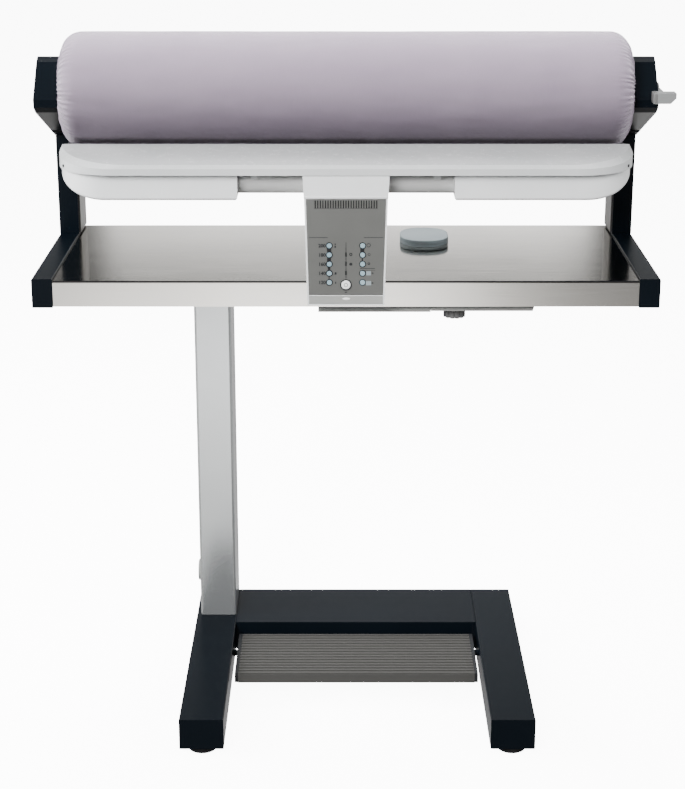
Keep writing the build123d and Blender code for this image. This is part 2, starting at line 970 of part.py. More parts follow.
def polar(pairs, y, z):
    points = []
    for radius, angle in pairs:
        point = (y + radius * math.cos(angle), z + radius * math.sin(angle))
        if not points or math.dist(point, points[-1]) > closest_points:
            points.append(point)
    return points


def press_sector():
    pitch_angle = 2 * math.pi / sector_teeth
    pairs = []
    for number in range(-sector_teeth_above, sector_teeth_below + 1):
        pairs += tooth_outline(sector_teeth, math.radians(mesh_angle) + number * pitch_angle)
    inner = sector_radius - sector_rim
    first = pairs[0][1]
    last = pairs[-1][1]
    pairs += [(inner, last), (inner, (first + last) / 2), (inner, first)]
    width = (-sector_width / 2, sector_width / 2)
    sector = prism_x(polar(pairs, pivot_y, pivot_z), width)
    root = sector_radius - tooth_dedendum * gear_module
    foot_y, foot_z = polar([(root, first)], pivot_y, pivot_z)[0]
    back_y, back_z = polar([(inner, first)], pivot_y, pivot_z)[0]
    stem = prism_x(
        [(foot_y, foot_z), (back_y, back_z), (back_y, roller_z), (foot_y, roller_z)],
        width,
    )
    sector += stem
    return sector - rod_x(shoe_outer_radius, width, roller_y, roller_z)


def press_pinion():
    towards_pivot = math.radians(mesh_angle - 180)
    pairs = []
    for number in range(pinion_teeth):
        pairs += tooth_outline(pinion_teeth, towards_pivot + (number + 0.5) * 2 * math.pi / pinion_teeth)
    outline = polar(pairs, pinion_y, pinion_z)
    wheel = prism_x(outline, (-pinion_width / 2, pinion_width / 2))
    shaft = rod_x(
        pinion_shaft_radius, (pinion_width / 2, pinion_width / 2 + pinion_shaft_length), pinion_y, pinion_z
    )
    return wheel + shaft


def press_motor():
    start = pinion_width / 2 + press_motor_gap
    end = start + press_motor_length
    body = rod_x(press_motor_radius, (start, end), pinion_y, pinion_z)
    low = pinion_z - press_motor_radius
    body += block(
        (start, end),
        (pinion_y - press_motor_foot / 2, pinion_y + press_motor_foot / 2),
        (low, low + press_motor_foot_height),
    )
    socket_end = pinion_width / 2 + pinion_shaft_length + seat_gap
    return body - rod_x(pinion_shaft_radius + running_gap, (start, socket_end), pinion_y, pinion_z)


# Feed tray and housings -------------------------------------------------


def tray_z(y):
    return tray_front_z + tray_slope * (y - tray_front)


def under_slope(drop, z_low):
    """Everything below the tray's sloping top, lowered by drop, as a wide prism along X."""
    front = tray_front - wide_margin
    rear = tray_rear + wide_margin
    outline = [(front, z_low), (front, tray_z(front) - drop), (rear, tray_z(rear) - drop), (rear, z_low)]
    return prism_x(outline, (-tray_half_length - wide_margin, tray_half_length + wide_margin))


def tray_plan(inset, rear, z_range):
    """The tray's outline from above, with both front corners rounded, drawn in by inset."""
    half = tray_half_length - inset
    solid = block((-half, half), (tray_front + inset, rear), z_range)
    corners = solid.edges().filter_by(Axis.Z).group_by(Axis.Y)[0]
    return fillet(corners, tray_corner - inset)


def feed_tray():
    piece = tray_form(0, tray_rear, lip_bottom)
    piece -= tray_form(tray_sheet, tray_rear + wide_margin, lip_bottom - wide_margin)
    for side in (-1, 1):
        piece -= corner_rod(side, screw_radius, (-screw_length, 0))
    return piece


def tray_form(inset, rear, low):
    """The tray's outside, or its inside when drawn in: flat above, bevelled to the front, upright at the lip."""
    plan = tray_plan(inset, rear, (low, tray_rear_z + wide_margin))
    top = Plane(origin=(0, tray_front, tray_front_z - inset), x_dir=(1, 0, 0), z_dir=(0, -tray_slope, 1))
    half = tray_half_length - inset
    crease = bevel_edge(half - tray_bevel_side, inset + tray_bevel_front, tray_bevel_corner - inset)
    foot_corner = tray_corner - inset + tray_bevel_flare
    foot = bevel_edge(half + tray_bevel_flare, inset - tray_bevel_flare, foot_corner)
    crown = loft([top.offset(-tray_bevel_drop) * foot, top * crease], ruled=True)
    foot_drop = tray_bevel_drop * math.hypot(1, tray_slope)
    return (plan & under_slope(inset + foot_drop, low)) + (plan & crown)


def bevel_edge(half, front, corner):
    """Outline of one edge of the tray's bevel, laid flat, with its front corners rounded."""
    rear = tray_rear + wide_margin - tray_front
    plate = Pos(0, (front + rear) / 2) * Rectangle(2 * half, rear - front)
    return fillet(plate.vertices().group_by(Axis.Y)[0], corner)


def corner_rod(side, radius, span):
    """Level rod square to the tray's rounded corner, its span measured outwards from the lip's face."""
    low, high = span
    turn = -screw_angle if side > 0 else screw_angle - 180
    x, y = corner_centre(side)
    middle = Pos(tray_corner + (low + high) / 2, 0, 0)
    return Pos(x, y, screw_z) * Rot(0, 0, turn) * middle * Rot(0, 90, 0) * Cylinder(radius, high - low)


def tray_screws():
    screws = []
    for side in (-1, 1):
        head = corner_rod(side, screw_head_radius, (-seat_gap, screw_head_height))
        outside = rod_z(tray_corner, (lip_bottom, tray_rear_z), *corner_centre(side))
        screws.append(corner_rod(side, screw_radius, (-screw_length, screw_head_height)) + (head - outside))
    return Compound(screws)


def corner_centre(side):
    return side * (tray_half_length - tray_corner), tray_front + tray_corner


def housing(side):
    rear = tray_rear - housing_rear_inset
    inner_end = mirrored(side, housing_inner, tray_half_length)
    outer = housing_body(0, rear) & block(inner_end, (tray_front, rear), (housing_bottom, tray_rear_z))
    low_front = outer.edges().filter_by(Axis.X).group_by(Axis.Z)[0].sort_by(Axis.Y)[0]
    low_end = outer.edges().filter_by(Axis.Y).group_by(Axis.Z)[0]
    outer = fillet([low_front] + list(low_end), housing_edge)
    hollow_end = mirrored(side, housing_inner + housing_wall, tray_half_length)
    hollow = housing_body(housing_wall, rear + wide_margin)
    hollow &= block(hollow_end, (tray_front, rear + wide_margin), (housing_bottom, tray_rear_z))
    shell = (outer - hollow) & under_slope(housing_drop, housing_bottom)
    tube_run = mirrored(side, housing_inner, carrier_inner)
    return shell - rod_x(tube_radius + seat_gap, tube_run, tube_y, tube_z)


def housing_body(inset, rear):
    """The closed form behind both housings: rounded in plan at the front, and underneath at the ends."""
    front_inset = housing_setback + inset
    half = tray_half_length - housing_end_inset - inset
    low = housing_bottom + inset
    plan = block((-half, half), (tray_front + front_inset, rear), (low, tray_rear_z))
    corners = plan.edges().filter_by(Axis.Z).group_by(Axis.Y)[0]
    plan = fillet(corners, tray_corner - front_inset)
    length = housing_round_length - inset
    height = housing_round_height - inset
    right_centre = (half - length, low + height)
    left_centre = (length - half, low + height)
    right = EllipticalCenterArc(
        right_centre, length, height, start_angle=-quarter_turn, arc_size=quarter_turn
    )
    left = EllipticalCenterArc(
        left_centre, length, height, start_angle=2 * quarter_turn, arc_size=quarter_turn
    )
    sides_and_top = Polyline(right @ 1, (half, tray_rear_z), (-half, tray_rear_z), left @ 0)
    elevation = make_face([right, sides_and_top, left, Line(left @ 1, right @ 0)])
    return plan & extrude(Plane.XZ.offset(-rear) * elevation, amount=rear - tray_front)


def tray_clamps():
    front = tube_y - tube_radius - clamp_margin
    rear = tube_y + tube_radius + clamp_margin
    clamps = []
    for x in clamp_spots:
        span = (x - clamp_width / 2, x + clamp_width / 2)
        clamp = block(span, (tube_y, rear), (clamp_bottom, tray_rear_z))
        clamp += block(span, (front, tube_y), (tube_z + clamp_tip_rise, tray_rear_z))
        clamp &= under_slope(tray_sheet, clamp_bottom)
        clamps.append(clamp - rod_x(tube_radius, (x - clamp_width, x + clamp_width), tube_y, tube_z))
    return Compound(clamps)


# Console ----------------------------------------------------------------


def console_half(z):
    share = (z - console_bottom) / (console_top - console_bottom)
    return console_bottom_half + (console_top_half - console_bottom_half) * share


def tapered(inset, y_range, z_range):
    low, high = z_range
    outline = [
        (-console_half(low) + inset, low),
        (console_half(low) - inset, low),
        (console_half(high) - inset, high),
        (-console_half(high) + inset, high),
    ]
    return prism_y(outline, y_range)


def console_case():
    wall = console_wall
    deck = table_top_z + seat_gap
    front_box = tapered(0, (console_front, -seat_gap), (console_bottom, console_top))
    over_table = tapered(0, (-seat_gap, console_rear), (deck, console_top))
    hump = tapered(0, (console_head_rear + seat_gap, console_rear), (console_top, console_rear_top))
    shell = front_box + over_table + hump
    shell -= tapered(wall, (console_front, -seat_gap - wall), (console_bottom + wall, console_top))
    shell -= tapered(wall, (-seat_gap - wall, console_rear - wall), (deck + wall, console_top - wall))
    back_room = (console_head_rear + seat_gap + wall, console_rear - wall)
    shell -= tapered(wall, back_room, (deck + wall, console_rear_top - wall))
    shell -= rod_x(tube_radius + seat_gap, (-console_head_half, console_head_half), tube_y, tube_z)
    shelf_top = pinion_z - press_motor_radius
    shelf_start = pinion_width / 2 + press_motor_gap
    shelf_end = console_half(shelf_top) - wall / 2
    shell += block((shelf_start, shelf_end), back_room, (shelf_top - shelf_thickness, shelf_top))
    slot_half = sector_width / 2 + sector_slot_side
    slot_low = pinion_z - sector_slot_drop
    return shell - block((-slot_half, slot_half), (back_room[0], console_rear), (slot_low, console_rear_top))


def console_head():
    taper = [
        (-console_top_half - seat_gap, console_top),
        (console_top_half + seat_gap, console_top),
        (console_head_half, console_head_top),
        (-console_head_half, console_head_top),
    ]
    saddle = prism_y(taper, (console_front, console_head_rear))
    crown_front = tray_front + tray_sheet + console_lip_gap
    crown_top = console_head_top + console_head_crown
    saddle += block(
        (-console_top_half, console_top_half), (crown_front, console_head_rear), (console_head_top, crown_top)
    )
    return saddle - rod_x(tube_radius, (-console_head_half, console_head_half), tube_y, tube_z)


def key_spots():
    spots = []
    for side in (-1, 1):
        for number in range(key_count):
            spots.append((side * key_x, key_top_z - key_pitch * number))
    return spots


def standoff_spots():
    half = board_half - standoff_inset
    return [(x, z) for x in (-half, half) for z in (board_low + standoff_inset, board_high - standoff_inset)]


def control_panel():
    low = console_bottom + console_wall + slide_gap
    high = console_top - slide_gap
    piece = tapered(console_wall + slide_gap, (console_front, panel_back), (low, high))
    groove_low = panel_groove_z - panel_groove_height / 2
    piece -= block(
        (-console_top_half, console_top_half),
        (console_front, console_front + panel_groove_depth),
        (groove_low, groove_low + panel_groove_height),
    )
    pitch = vent_span / (vent_count - 1)
    for number in range(vent_count):
        x = -vent_span / 2 + pitch * number
        piece -= block(
            (x - vent_width / 2, x + vent_width / 2), (console_front, panel_back), (vent_low, vent_high)
        )
    for x, z in key_spots():
        piece -= rod_y(key_radius + slide_gap, (console_front, panel_back), x, z)
    ring_face = console_front - button_ring_proud
    piece += rod_y(button_radius + button_ring_width, (ring_face, console_front), 0, button_z)
    piece -= rod_y(button_radius + slide_gap, (ring_face, panel_back), 0, button_z)
    for x, z in standoff_spots():
        piece += rod_y(standoff_radius, (panel_back, board_front), x, z)
    return piece


def panel_board():
    span = (-board_half, board_half)
    return block(span, (board_front, board_front + board_thickness), (board_low, board_high))


def panel_key(x, z):
    front = console_front - key_proud
    key = rod_y(key_radius, (front, board_front - key_travel - slide_gap), x, z)
    return fillet(key.edges().group_by(Axis.Y)[0], key_edge_radius)


def on_button():
    front = console_front - button_proud
    button = rod_y(button_radius, (front, board_front - button_travel - slide_gap), 0, button_z)
    return chamfer(button.edges().group_by(Axis.Y)[0], button_chamfer)


# Water tank and pump box ------------------------------------------------


def slanted_box(left, right, y_range, z_range, slant):
    low, high = z_range
    outline = [(left, low), (right - slant, low), (right, high), (left, high)]
    return prism_y(outline, y_range)


def water_tank():
    floor_z = table_under - tank_drop
    outer = slanted_box(tank_left, tank_right, (tank_front, tank_rear), (floor_z, table_under), tank_slant)
    hollow = slanted_box(
        tank_left + tank_wall,
        tank_right - tank_wall,
        (tank_front + tank_wall, tank_rear - tank_wall),
        (floor_z + tank_wall, table_under - tank_wall),
        tank_slant,
    )
    chute = block(
        (lid_x - neck_radius, tank_left),
        (lid_y - neck_radius, lid_y + neck_radius),
        (table_under - chute_drop, table_under),
    )
    neck_top = table_top_z - slide_gap
    neck = rod_z(neck_radius, (table_under - tank_wall, neck_top), lid_x, lid_y)
    bore = rod_z(neck_radius - neck_wall, (table_under - chute_drop + tank_wall, neck_top), lid_x, lid_y)
    tank = outer + chute + neck - hollow - bore
    return tank - rod_z(knob_stem_radius + running_gap, (floor_z, floor_z + tank_wall), knob_x, knob_y)


def pump_box():
    return slanted_box(
        pump_left,
        tank_left - pump_tank_gap,
        (tank_front, tank_front + pump_depth),
        (table_under - pump_drop, table_under),
        0,
    )


def tank_lid():
    under = table_top_z + seat_gap
    top = table_top_z + lid_height
    collar = rod_z(lid_radius, (under, top - lid_slab), lid_x, lid_y)
    slab = block(
        (lid_x - lid_slab_width / 2, lid_x + lid_slab_width / 2),
        (lid_y - lid_slab_depth / 2, lid_y + lid_slab_depth / 2),
        (top - lid_slab, top),
    )
    slab = softened(slab, Axis.Z, lid_slab_corner)
    slab = fillet(slab.edges().group_by(Axis.Z)[-1], lid_slab_edge)
    plug_low = table_under - lid_plug_depth
    return collar + slab + rod_z(neck_radius - neck_wall - running_gap, (plug_low, under), lid_x, lid_y)


def drain_knob():
    seat = table_under - tank_drop
    low = seat - seat_gap - knob_height
    knob = rod_z(knob_radius, (low, seat - seat_gap), knob_x, knob_y)
    for number in range(knob_flutes):
        turn = 2 * math.pi * number / knob_flutes
        x = knob_x + knob_radius * math.cos(turn)
        y = knob_y + knob_radius * math.sin(turn)
        knob -= rod_z(knob_flute_radius, (low, seat - seat_gap), x, y)
    return knob + rod_z(knob_stem_radius, (seat - seat_gap, seat + tank_wall), knob_x, knob_y)


os.makedirs("parts", exist_ok=True)

save("left_leg", left_leg())
save("right_leg", right_leg())
save("rear_beam", rear_beam())
save("levelling_feet", levelling_feet())
save("column", column())
save("cable_rosette", cable_rosette())
save("foot_plate", foot_plate())
save("foot_plate_caps", foot_plate_caps())
for side_name, side_sign in (("left", -1), ("right", 1)):
    save(f"{side_name}_rail", side_rail(side_sign))
    save(f"{side_name}_post", side_post(side_sign))
    save(f"{side_name}_head_plate", head_plate(side_sign))
    save(f"{side_name}_head_cover", head_cover(side_sign))
    save(f"{side_name}_end_disc", end_disc(side_sign))
    save(f"{side_name}_carrier", carrier(side_sign))
    save(f"{side_name}_housing", housing(side_sign))
save("post_covers", post_covers())
save("table_top", table_top())
save("table_beam", table_beam())
save("release_lever", release_lever())
save("drive_motor", drive_motor())
save("roller_core", roller_core())
save("roller_padding", roller_padding())
save("roller_cover", roller_cover())
save("cross_tube", cross_tube())
save("heated_shoe", heated_shoe())
save("shoe_heaters", shoe_heaters())
save("shoe_shield", shoe_shield())
save("shoe_arms", shoe_arms())
save("press_sector", press_sector())
save("press_pinion", press_pinion())
save("press_motor", press_motor())
save("feed_tray", feed_tray())
save("tray_screws", tray_screws())
save("tray_clamps", tray_clamps())
save("console_case", console_case())
save("console_head", console_head())
save("control_panel", control_panel())
save("panel_board", panel_board())
save("on_button", on_button())
for spot_number, (spot_x, spot_z) in enumerate(key_spots()):
    column_name = "left" if spot_number < key_count else "right"
    save(f"{column_name}_key_{spot_number % key_count + 1}", panel_key(spot_x, spot_z))
save("water_tank", water_tank())
save("pump_box", pump_box())
save("tank_lid", tank_lid())
save("drain_knob", drain_knob())
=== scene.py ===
import json
import math

import bmesh
import bpy
from mathutils import Matrix, Vector, noise

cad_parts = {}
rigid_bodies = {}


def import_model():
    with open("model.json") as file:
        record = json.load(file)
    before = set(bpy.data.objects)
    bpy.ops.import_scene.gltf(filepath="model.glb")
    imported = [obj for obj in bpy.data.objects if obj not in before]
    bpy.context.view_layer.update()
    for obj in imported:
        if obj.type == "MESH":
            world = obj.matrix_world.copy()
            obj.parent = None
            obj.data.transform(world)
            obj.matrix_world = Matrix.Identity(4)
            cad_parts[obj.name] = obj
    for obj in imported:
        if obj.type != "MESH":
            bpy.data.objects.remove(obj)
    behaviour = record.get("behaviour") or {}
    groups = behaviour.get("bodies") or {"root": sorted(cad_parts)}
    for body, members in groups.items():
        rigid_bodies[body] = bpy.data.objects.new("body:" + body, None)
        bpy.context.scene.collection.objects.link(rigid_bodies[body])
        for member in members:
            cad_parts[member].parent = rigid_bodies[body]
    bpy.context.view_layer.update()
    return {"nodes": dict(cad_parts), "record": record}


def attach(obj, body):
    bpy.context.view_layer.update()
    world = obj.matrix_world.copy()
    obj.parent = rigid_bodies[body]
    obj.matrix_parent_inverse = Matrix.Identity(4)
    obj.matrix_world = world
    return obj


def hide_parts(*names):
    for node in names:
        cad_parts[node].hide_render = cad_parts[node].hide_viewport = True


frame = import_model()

nodes = frame["nodes"]
print("frame loaded:", len(nodes), "CAD nodes")

# Where the part's own origin lies in the frame, in metres. The sizes below are the part's own
# millimetres, except those of the camera, the lamps, the finishes and the floor, which are in metres.
originX = -0.0105
originY = -0.103


# Camera, lamps and world

cameraSizes = {
    "place": (-0.0155, -2.493, 1.386), "pitch": 15.8,  # degrees below level
    "focus": 1696, "frameHeight": 789, "lift": 118.35,  # in pixels of the photograph's frame
    "sensor": 36, "clipEnd": 60,
}


def makeCamera(sizes):
    data = bpy.data.cameras.new("studioCamera")
    data.sensor_width = sizes["sensor"]
    data.lens = sizes["focus"] / sizes["frameHeight"] * data.sensor_width
    data.shift_y = -sizes["lift"] / sizes["frameHeight"]
    data.clip_end = sizes["clipEnd"]
    camera = bpy.data.objects.new("studioCamera", data)
    camera.location = sizes["place"]
    camera.rotation_euler = (math.radians(90 - sizes["pitch"]), 0, 0)
    bpy.context.scene.collection.objects.link(camera)
    bpy.context.scene.camera = camera


lampSizes = {  # a lamp with "only" lights that piece alone, one with "spare" lights all but that piece
    "frontLamp": {"place": (-1.1, -2.7, 2.3), "aim": (0, 0, 0.75), "size": 1.4, "power": 235,
                  "spare": "rollerCloth"},
    "rollerLamp": {"place": (-0.4, -1.25, 3.1), "aim": (0, 0, 0.95), "size": 1.0, "power": 165,
                   "only": "rollerCloth"},
    "rollerLeft": {"place": (-1.9, -0.6, 2.4), "aim": (-0.4, 0, 0.95), "size": 0.8, "power": 60,
                   "only": "rollerCloth"},
    "rollerRight": {"place": (1.8, -0.7, 2.5), "aim": (0.3, 0, 0.95), "size": 0.8, "power": 50,
                    "only": "rollerCloth"},
    "topLamp": {"place": (-0.1, 1.35, 2.8), "aim": (0, 0.1, 0.9), "size": 1.4, "power": 130},
    "leftLamp": {"place": (-2.8, 0.0, 1.7), "aim": (0, 0, 0.9), "size": 1.4, "power": 190},
    "rightLamp": {"place": (2.6, -0.9, 2.0), "aim": (0.2, 0, 0.95), "size": 1.2, "power": 60},
}


def makeLamp(name, sizes):
    data = bpy.data.lights.new(name, "AREA")
    data.shape = "SQUARE"
    data.size = sizes["size"]
    data.energy = sizes["power"]
    lamp = bpy.data.objects.new(name, data)
    lamp.location = sizes["place"]
    lamp.visible_glossy = False  # the world alone is mirrored
    direction = Vector(sizes["aim"]) - Vector(sizes["place"])
    lamp.rotation_euler = direction.to_track_quat("-Z", "Y").to_euler()
    bpy.context.scene.collection.objects.link(lamp)
    for key, state in (("only", "INCLUDE"), ("spare", "EXCLUDE")):
        if key in sizes:
            group = bpy.data.collections.new(name + "Group")
            group.objects.link(bpy.data.objects[sizes[key]])
            lamp.light_linking.receiver_collection = group
            group.collection_objects[0].light_linking.link_state = state


worldSizes = {
    "peak": 4.0, "facing": 0.35,  # brightest value, and how far the front half fades into the rear half
    "front": (  # degrees above level, brightness
        (-90, 0.05), (-33, 0.3), (-27.5, 0.4), (-24, 0.75), (-21.5, 1.5), (-19, 3.2), (-17, 4.0), (-16, 3.0),
        (-14, 2.8), (-11.5, 0.45), (-8.5, 0.12), (-5.5, 0.9), (6, 1.0), (20, 0.25), (90, 0.2),
    ),
    "rear": (
        (-90, 0.1), (-45, 0.5), (-35, 2.2), (-24, 0.7), (-17, 0.8), (-11, 2.4), (-5, 1.2), (8, 0.4),
        (11.5, 2.2), (13.6, 3.0), (14.2, 2.2), (14.7, 0.9), (15.2, 0.35), (16.3, 0.4), (21, 1.2),
        (27, 1.2), (33, 0.7), (60, 0.4), (70, 1.8), (80, 0.4),
    ),
    "frontSides": (  # from -1, left, to 1, right, share of the brightness
        (-1.0, 0.25), (-0.2, 0.4), (-0.12, 0.7), (-0.05, 1.0), (0.02, 1.0), (0.06, 0.7), (0.1, 0.28),
        (0.15, 0.14), (0.2, 0.1), (1.0, 0.2),
    ),
    "rearSides": (
        (-1.0, 0.5), (-0.25, 0.2), (-0.17, 0.28), (-0.158, 0.1), (-0.146, 0.1), (-0.13, 0.85), (-0.05, 1.0),
        (0.12, 1.0), (0.138, 0.85), (0.152, 0.1), (0.164, 0.1), (0.176, 0.5), (0.25, 0.3), (1.0, 0.6),
    ),
}


def makeWorld(sizes):
    world = bpy.data.worlds.new("studioWorld")
    world.use_nodes = True
    sky = NodeTree(world.node_tree)
    spot = sky.node("ShaderNodeTexCoord", output="Generated")
    x, y, z = (sky.node("ShaderNodeSeparateXYZ", {}, {0: spot}, output=axis) for axis in "XYZ")
    halves = []
    for half in ("front", "rear"):
        rise = [((math.sin(math.radians(turn)) + 1) / 2, value / sizes["peak"])
                for turn, value in sizes[half]]
        across = [((place + 1) / 2, value) for place, value in sizes[half + "Sides"]]
        halves.append(sky.blend(1.0, sky.ramp(z, rise), sky.ramp(x, across), "MULTIPLY"))
    facing = sky.node("ShaderNodeMapRange", {"interpolation_type": "SMOOTHSTEP"},
                      {"Value": y, "From Min": -sizes["facing"], "From Max": sizes["facing"]})
    background = world.node_tree.nodes["Background"]
    sky.join(background.inputs["Color"], sky.blend(facing, *halves))
    sky.join(background.inputs["Strength"], sizes["peak"])
    bpy.context.scene.world = world


# Shader toolkit

class Socket:  # one output of a node, with arithmetic on it
    def __init__(self, owner, socket):
        self.owner = owner
        self.socket = socket

    def math(self, operation, first, second=0.0):
        return self.owner.node("ShaderNodeMath", {"operation": operation}, {0: first, 1: second})

    def __add__(self, other):
        return self.math("ADD", self, other)

    def __radd__(self, other):
        return self.math("ADD", other, self)

    def __sub__(self, other):
        return self.math("SUBTRACT", self, other)

    def __rsub__(self, other):
        return self.math("SUBTRACT", other, self)

    def __mul__(self, other):
        return self.math("MULTIPLY", self, other)

    def __rmul__(self, other):
        return self.math("MULTIPLY", other, self)

    def __abs__(self):
        return self.math("ABSOLUTE", self)


class NodeTree:  # a world's or a material's nodes, and the ways they are added
    def __init__(self, tree):
        self.tree = tree

    def join(self, socket, value):
        if isinstance(value, Socket):
            self.tree.links.new(value.socket, socket)
        elif socket.type == "RGBA" and len(value) == 3:
            socket.default_value = (*value, 1)
        else:
            socket.default_value = value

    def node(self, kind, settings=None, inputs=None, output=0):
        made = self.tree.nodes.new(kind)
        for key, value in (settings or {}).items():
            if key == "stops":  # a grey ramp's places and values
                ramp = made.color_ramp
                ramp.interpolation = "EASE"
                while len(ramp.elements) < len(value):
                    ramp.elements.new(0.5)
                for element, (place, grey) in zip(ramp.elements, value):
                    element.position = place
                    element.color = (grey, grey, grey, 1)
            else:
                setattr(made, key, value)
        for key, value in (inputs or {}).items():
            self.join(made.inputs[key], value)
        return Socket(self, made.outputs[output])

    def between(self, value, low, high, first=0.0, second=1.0):
        inputs = {"Value": value, "From Min": low, "From Max": high, "To Min": first, "To Max": second}
        return self.node("ShaderNodeMapRange", {}, inputs)

    def ramp(self, value, stops):  # for a value from -1 to 1
        return self.node("ShaderNodeValToRGB", {"stops": stops}, {"Fac": self.between(value, -1.0, 1.0)})

    def blend(self, factor, first, second, kind="MIX"):  # sockets 6, 7 and 2 are the Mix node's colours
        settings = {"data_type": "RGBA", "blend_type": kind}
        return self.node("ShaderNodeMix", settings, {0: factor, 6: first, 7: second}, output=2)


finishes = {}


class Finish(NodeTree):  # one material, kept in finishes under its name
    def __init__(self, name, **constants):
        self.material = bpy.data.materials.new(name)
        self.material.use_nodes = True
        super().__init__(self.material.node_tree)
        self.shade(**constants)
        finishes[name] = self.material

    def shade(self, **inputs):
        shader = self.tree.nodes["Principled BSDF"]
        for key, value in inputs.items():
            self.join(shader.inputs[key.replace("_", " ")], value)

    def place(self, stretch=(1, 1, 1), turn=(0, 0, 0)):
        spot = self.node("ShaderNodeTexCoord", output="Object")
        return self.node("ShaderNodeMapping", {}, {"Vector": spot, "Rotation": turn, "Scale": stretch})

    def cloud(self, spot, size, detail=3.0, rough=0.5):
        inputs = {"Vector": spot, "Scale": 1 / size, "Detail": detail, "Roughness": rough}
        return self.node("ShaderNodeTexNoise", {}, inputs, output="Fac")

    def cells(self, spot, size):
        return self.node("ShaderNodeTexVoronoi", {}, {"Vector": spot, "Scale": 1 / size}, output="Distance")

    def bump(self, height, depth, strength=1.0, under=None):
        inputs = {"Height": height, "Distance": depth, "Strength": strength}
        if under is not None:
            inputs["Normal"] = under
        return self.node("ShaderNodeBump", {}, inputs)


# Finishes: one for each slot, and the two of ownFinishes. Grain, streak and depth are in metres.

paintSizes = {  # "lacquer" shines on sloping facets only, "bend" is the index of refraction
    "navy_paint": {"dark": (0.0020, 0.0034, 0.0054), "light": (0.0028, 0.0046, 0.0070), "rough": 0.28,
                   "gloss": 0.5, "lacquer": 1.0, "bend": 1.2},
    "silver_paint": {"dark": (0.68, 0.70, 0.705), "light": (0.75, 0.77, 0.77), "rough": 0.18,
                     "metal": 0.85, "grain": 0.0003, "depth": 0.000004},
    "grey_paint": {"dark": (0.16, 0.17, 0.175), "light": (0.21, 0.22, 0.225), "rough": 0.45},
    "motor_casing": {"dark": (0.10, 0.105, 0.11), "light": (0.14, 0.145, 0.15), "rough": 0.4},
    "lever_grey": {"dark": (0.30, 0.31, 0.31), "light": (0.38, 0.39, 0.39), "rough": 0.34, "metal": 0.5},
}


def paintedMetal(name, dark, light, rough, metal=0.0, grain=0.00035, depth=0.00003,
                 gloss=0.4, lacquer=0.0, bend=1.5):
    finish = Finish(name, Metallic=metal, Specular_IOR_Level=gloss, Coat_Roughness=0.3, IOR=bend)
    spot = finish.place()
    drift = finish.cloud(spot, size=0.12, detail=2)
    peel = finish.cloud(spot, size=grain * 4, detail=3, rough=0.6)
    speck = finish.cloud(spot, size=grain, detail=2)
    worn = finish.between(finish.cloud(spot, size=0.03, detail=6, rough=0.7), 0.55, 0.75)
    base = finish.blend(finish.between(drift, 0.3, 0.7), dark, light)
    normal = finish.node("ShaderNodeNewGeometry", output="Normal")
    level = abs(finish.node("ShaderNodeSeparateXYZ", {}, {0: normal}, output="Z"))
    sloping = finish.between(level, 0.3, 0.8, 0.0, lacquer) * finish.between(level, 0.97, 0.9)
    finish.shade(
        Base_Color=finish.blend(speck * 0.25, base, tuple(tone * 1.3 for tone in light)),
        Coat_Weight=sloping,
        Roughness=rough + drift * 0.06 - worn * 0.02,
        Normal=finish.bump(peel + speck * 0.4, depth),
    )


metalSizes = {  # "stretch" draws the streaks out along one axis
    "ribbed_aluminium": {"light": (0.165, 0.162, 0.155), "dark": (0.14, 0.138, 0.132), "rough": 0.4,
                         "stretch": (0.02, 1, 1), "metal": 0.75, "depth": 0.000006},
    "stainless": {"light": (0.74, 0.715, 0.67), "dark": (0.62, 0.597, 0.555), "rough": 0.06,
                  "stretch": (0.004, 1, 1), "depth": 0.000005, "streak": 0.0005},
    "turned_steel": {"light": (0.55, 0.56, 0.57), "dark": (0.36, 0.37, 0.38), "rough": 0.3,
                     "stretch": (0.05, 1, 1)},
    "dull_steel": {"light": (0.48, 0.475, 0.46), "dark": (0.40, 0.395, 0.38), "rough": 0.34,
                   "stretch": (1, 1, 0.012), "depth": 0.00003},
    "satin_tube": {"light": (0.86, 0.86, 0.85), "dark": (0.78, 0.78, 0.77), "rough": 0.4,
                   "stretch": (0.03, 1, 1), "metal": 0.4},
    "polished_shoe": {"light": (0.72, 0.73, 0.74), "dark": (0.62, 0.63, 0.64), "rough": 0.16,
                      "stretch": (0.02, 1, 1)},
    "zinc_sheet": {"light": (0.50, 0.51, 0.52), "dark": (0.38, 0.39, 0.40), "rough": 0.42,
                   "metal": 0.9, "depth": 0.00003, "streak": 0.012},
    "dark_screw": {"light": (0.09, 0.09, 0.095), "dark": (0.04, 0.04, 0.043), "rough": 0.38, "metal": 0.9},
}


def brushedMetal(name, light, dark, rough, stretch=(1, 1, 1), metal=1.0, depth=0.00001, streak=0.0006):
    finish = Finish(name, Metallic=metal)
    lines = finish.cloud(finish.place(stretch), size=streak, detail=3, rough=0.65)
    fine = finish.cloud(finish.place(stretch), size=streak * 0.35, detail=2)
    drift = finish.cloud(finish.place(), size=0.15, detail=2)
    halfStretch = tuple(share ** 0.5 for share in stretch)
    smear = finish.cloud(finish.place(halfStretch), size=0.02, detail=4, rough=0.6)
    mixed = lines * 0.6 + fine * 0.4
    finish.shade(
        Base_Color=finish.blend(finish.between(mixed, 0.3, 0.7), dark, light),
        Roughness=finish.between(mixed, 0.25, 0.75, rough - 0.05, rough + 0.07) + drift * 0.05 + smear * 0.04,
        Normal=finish.bump(mixed, depth),
    )


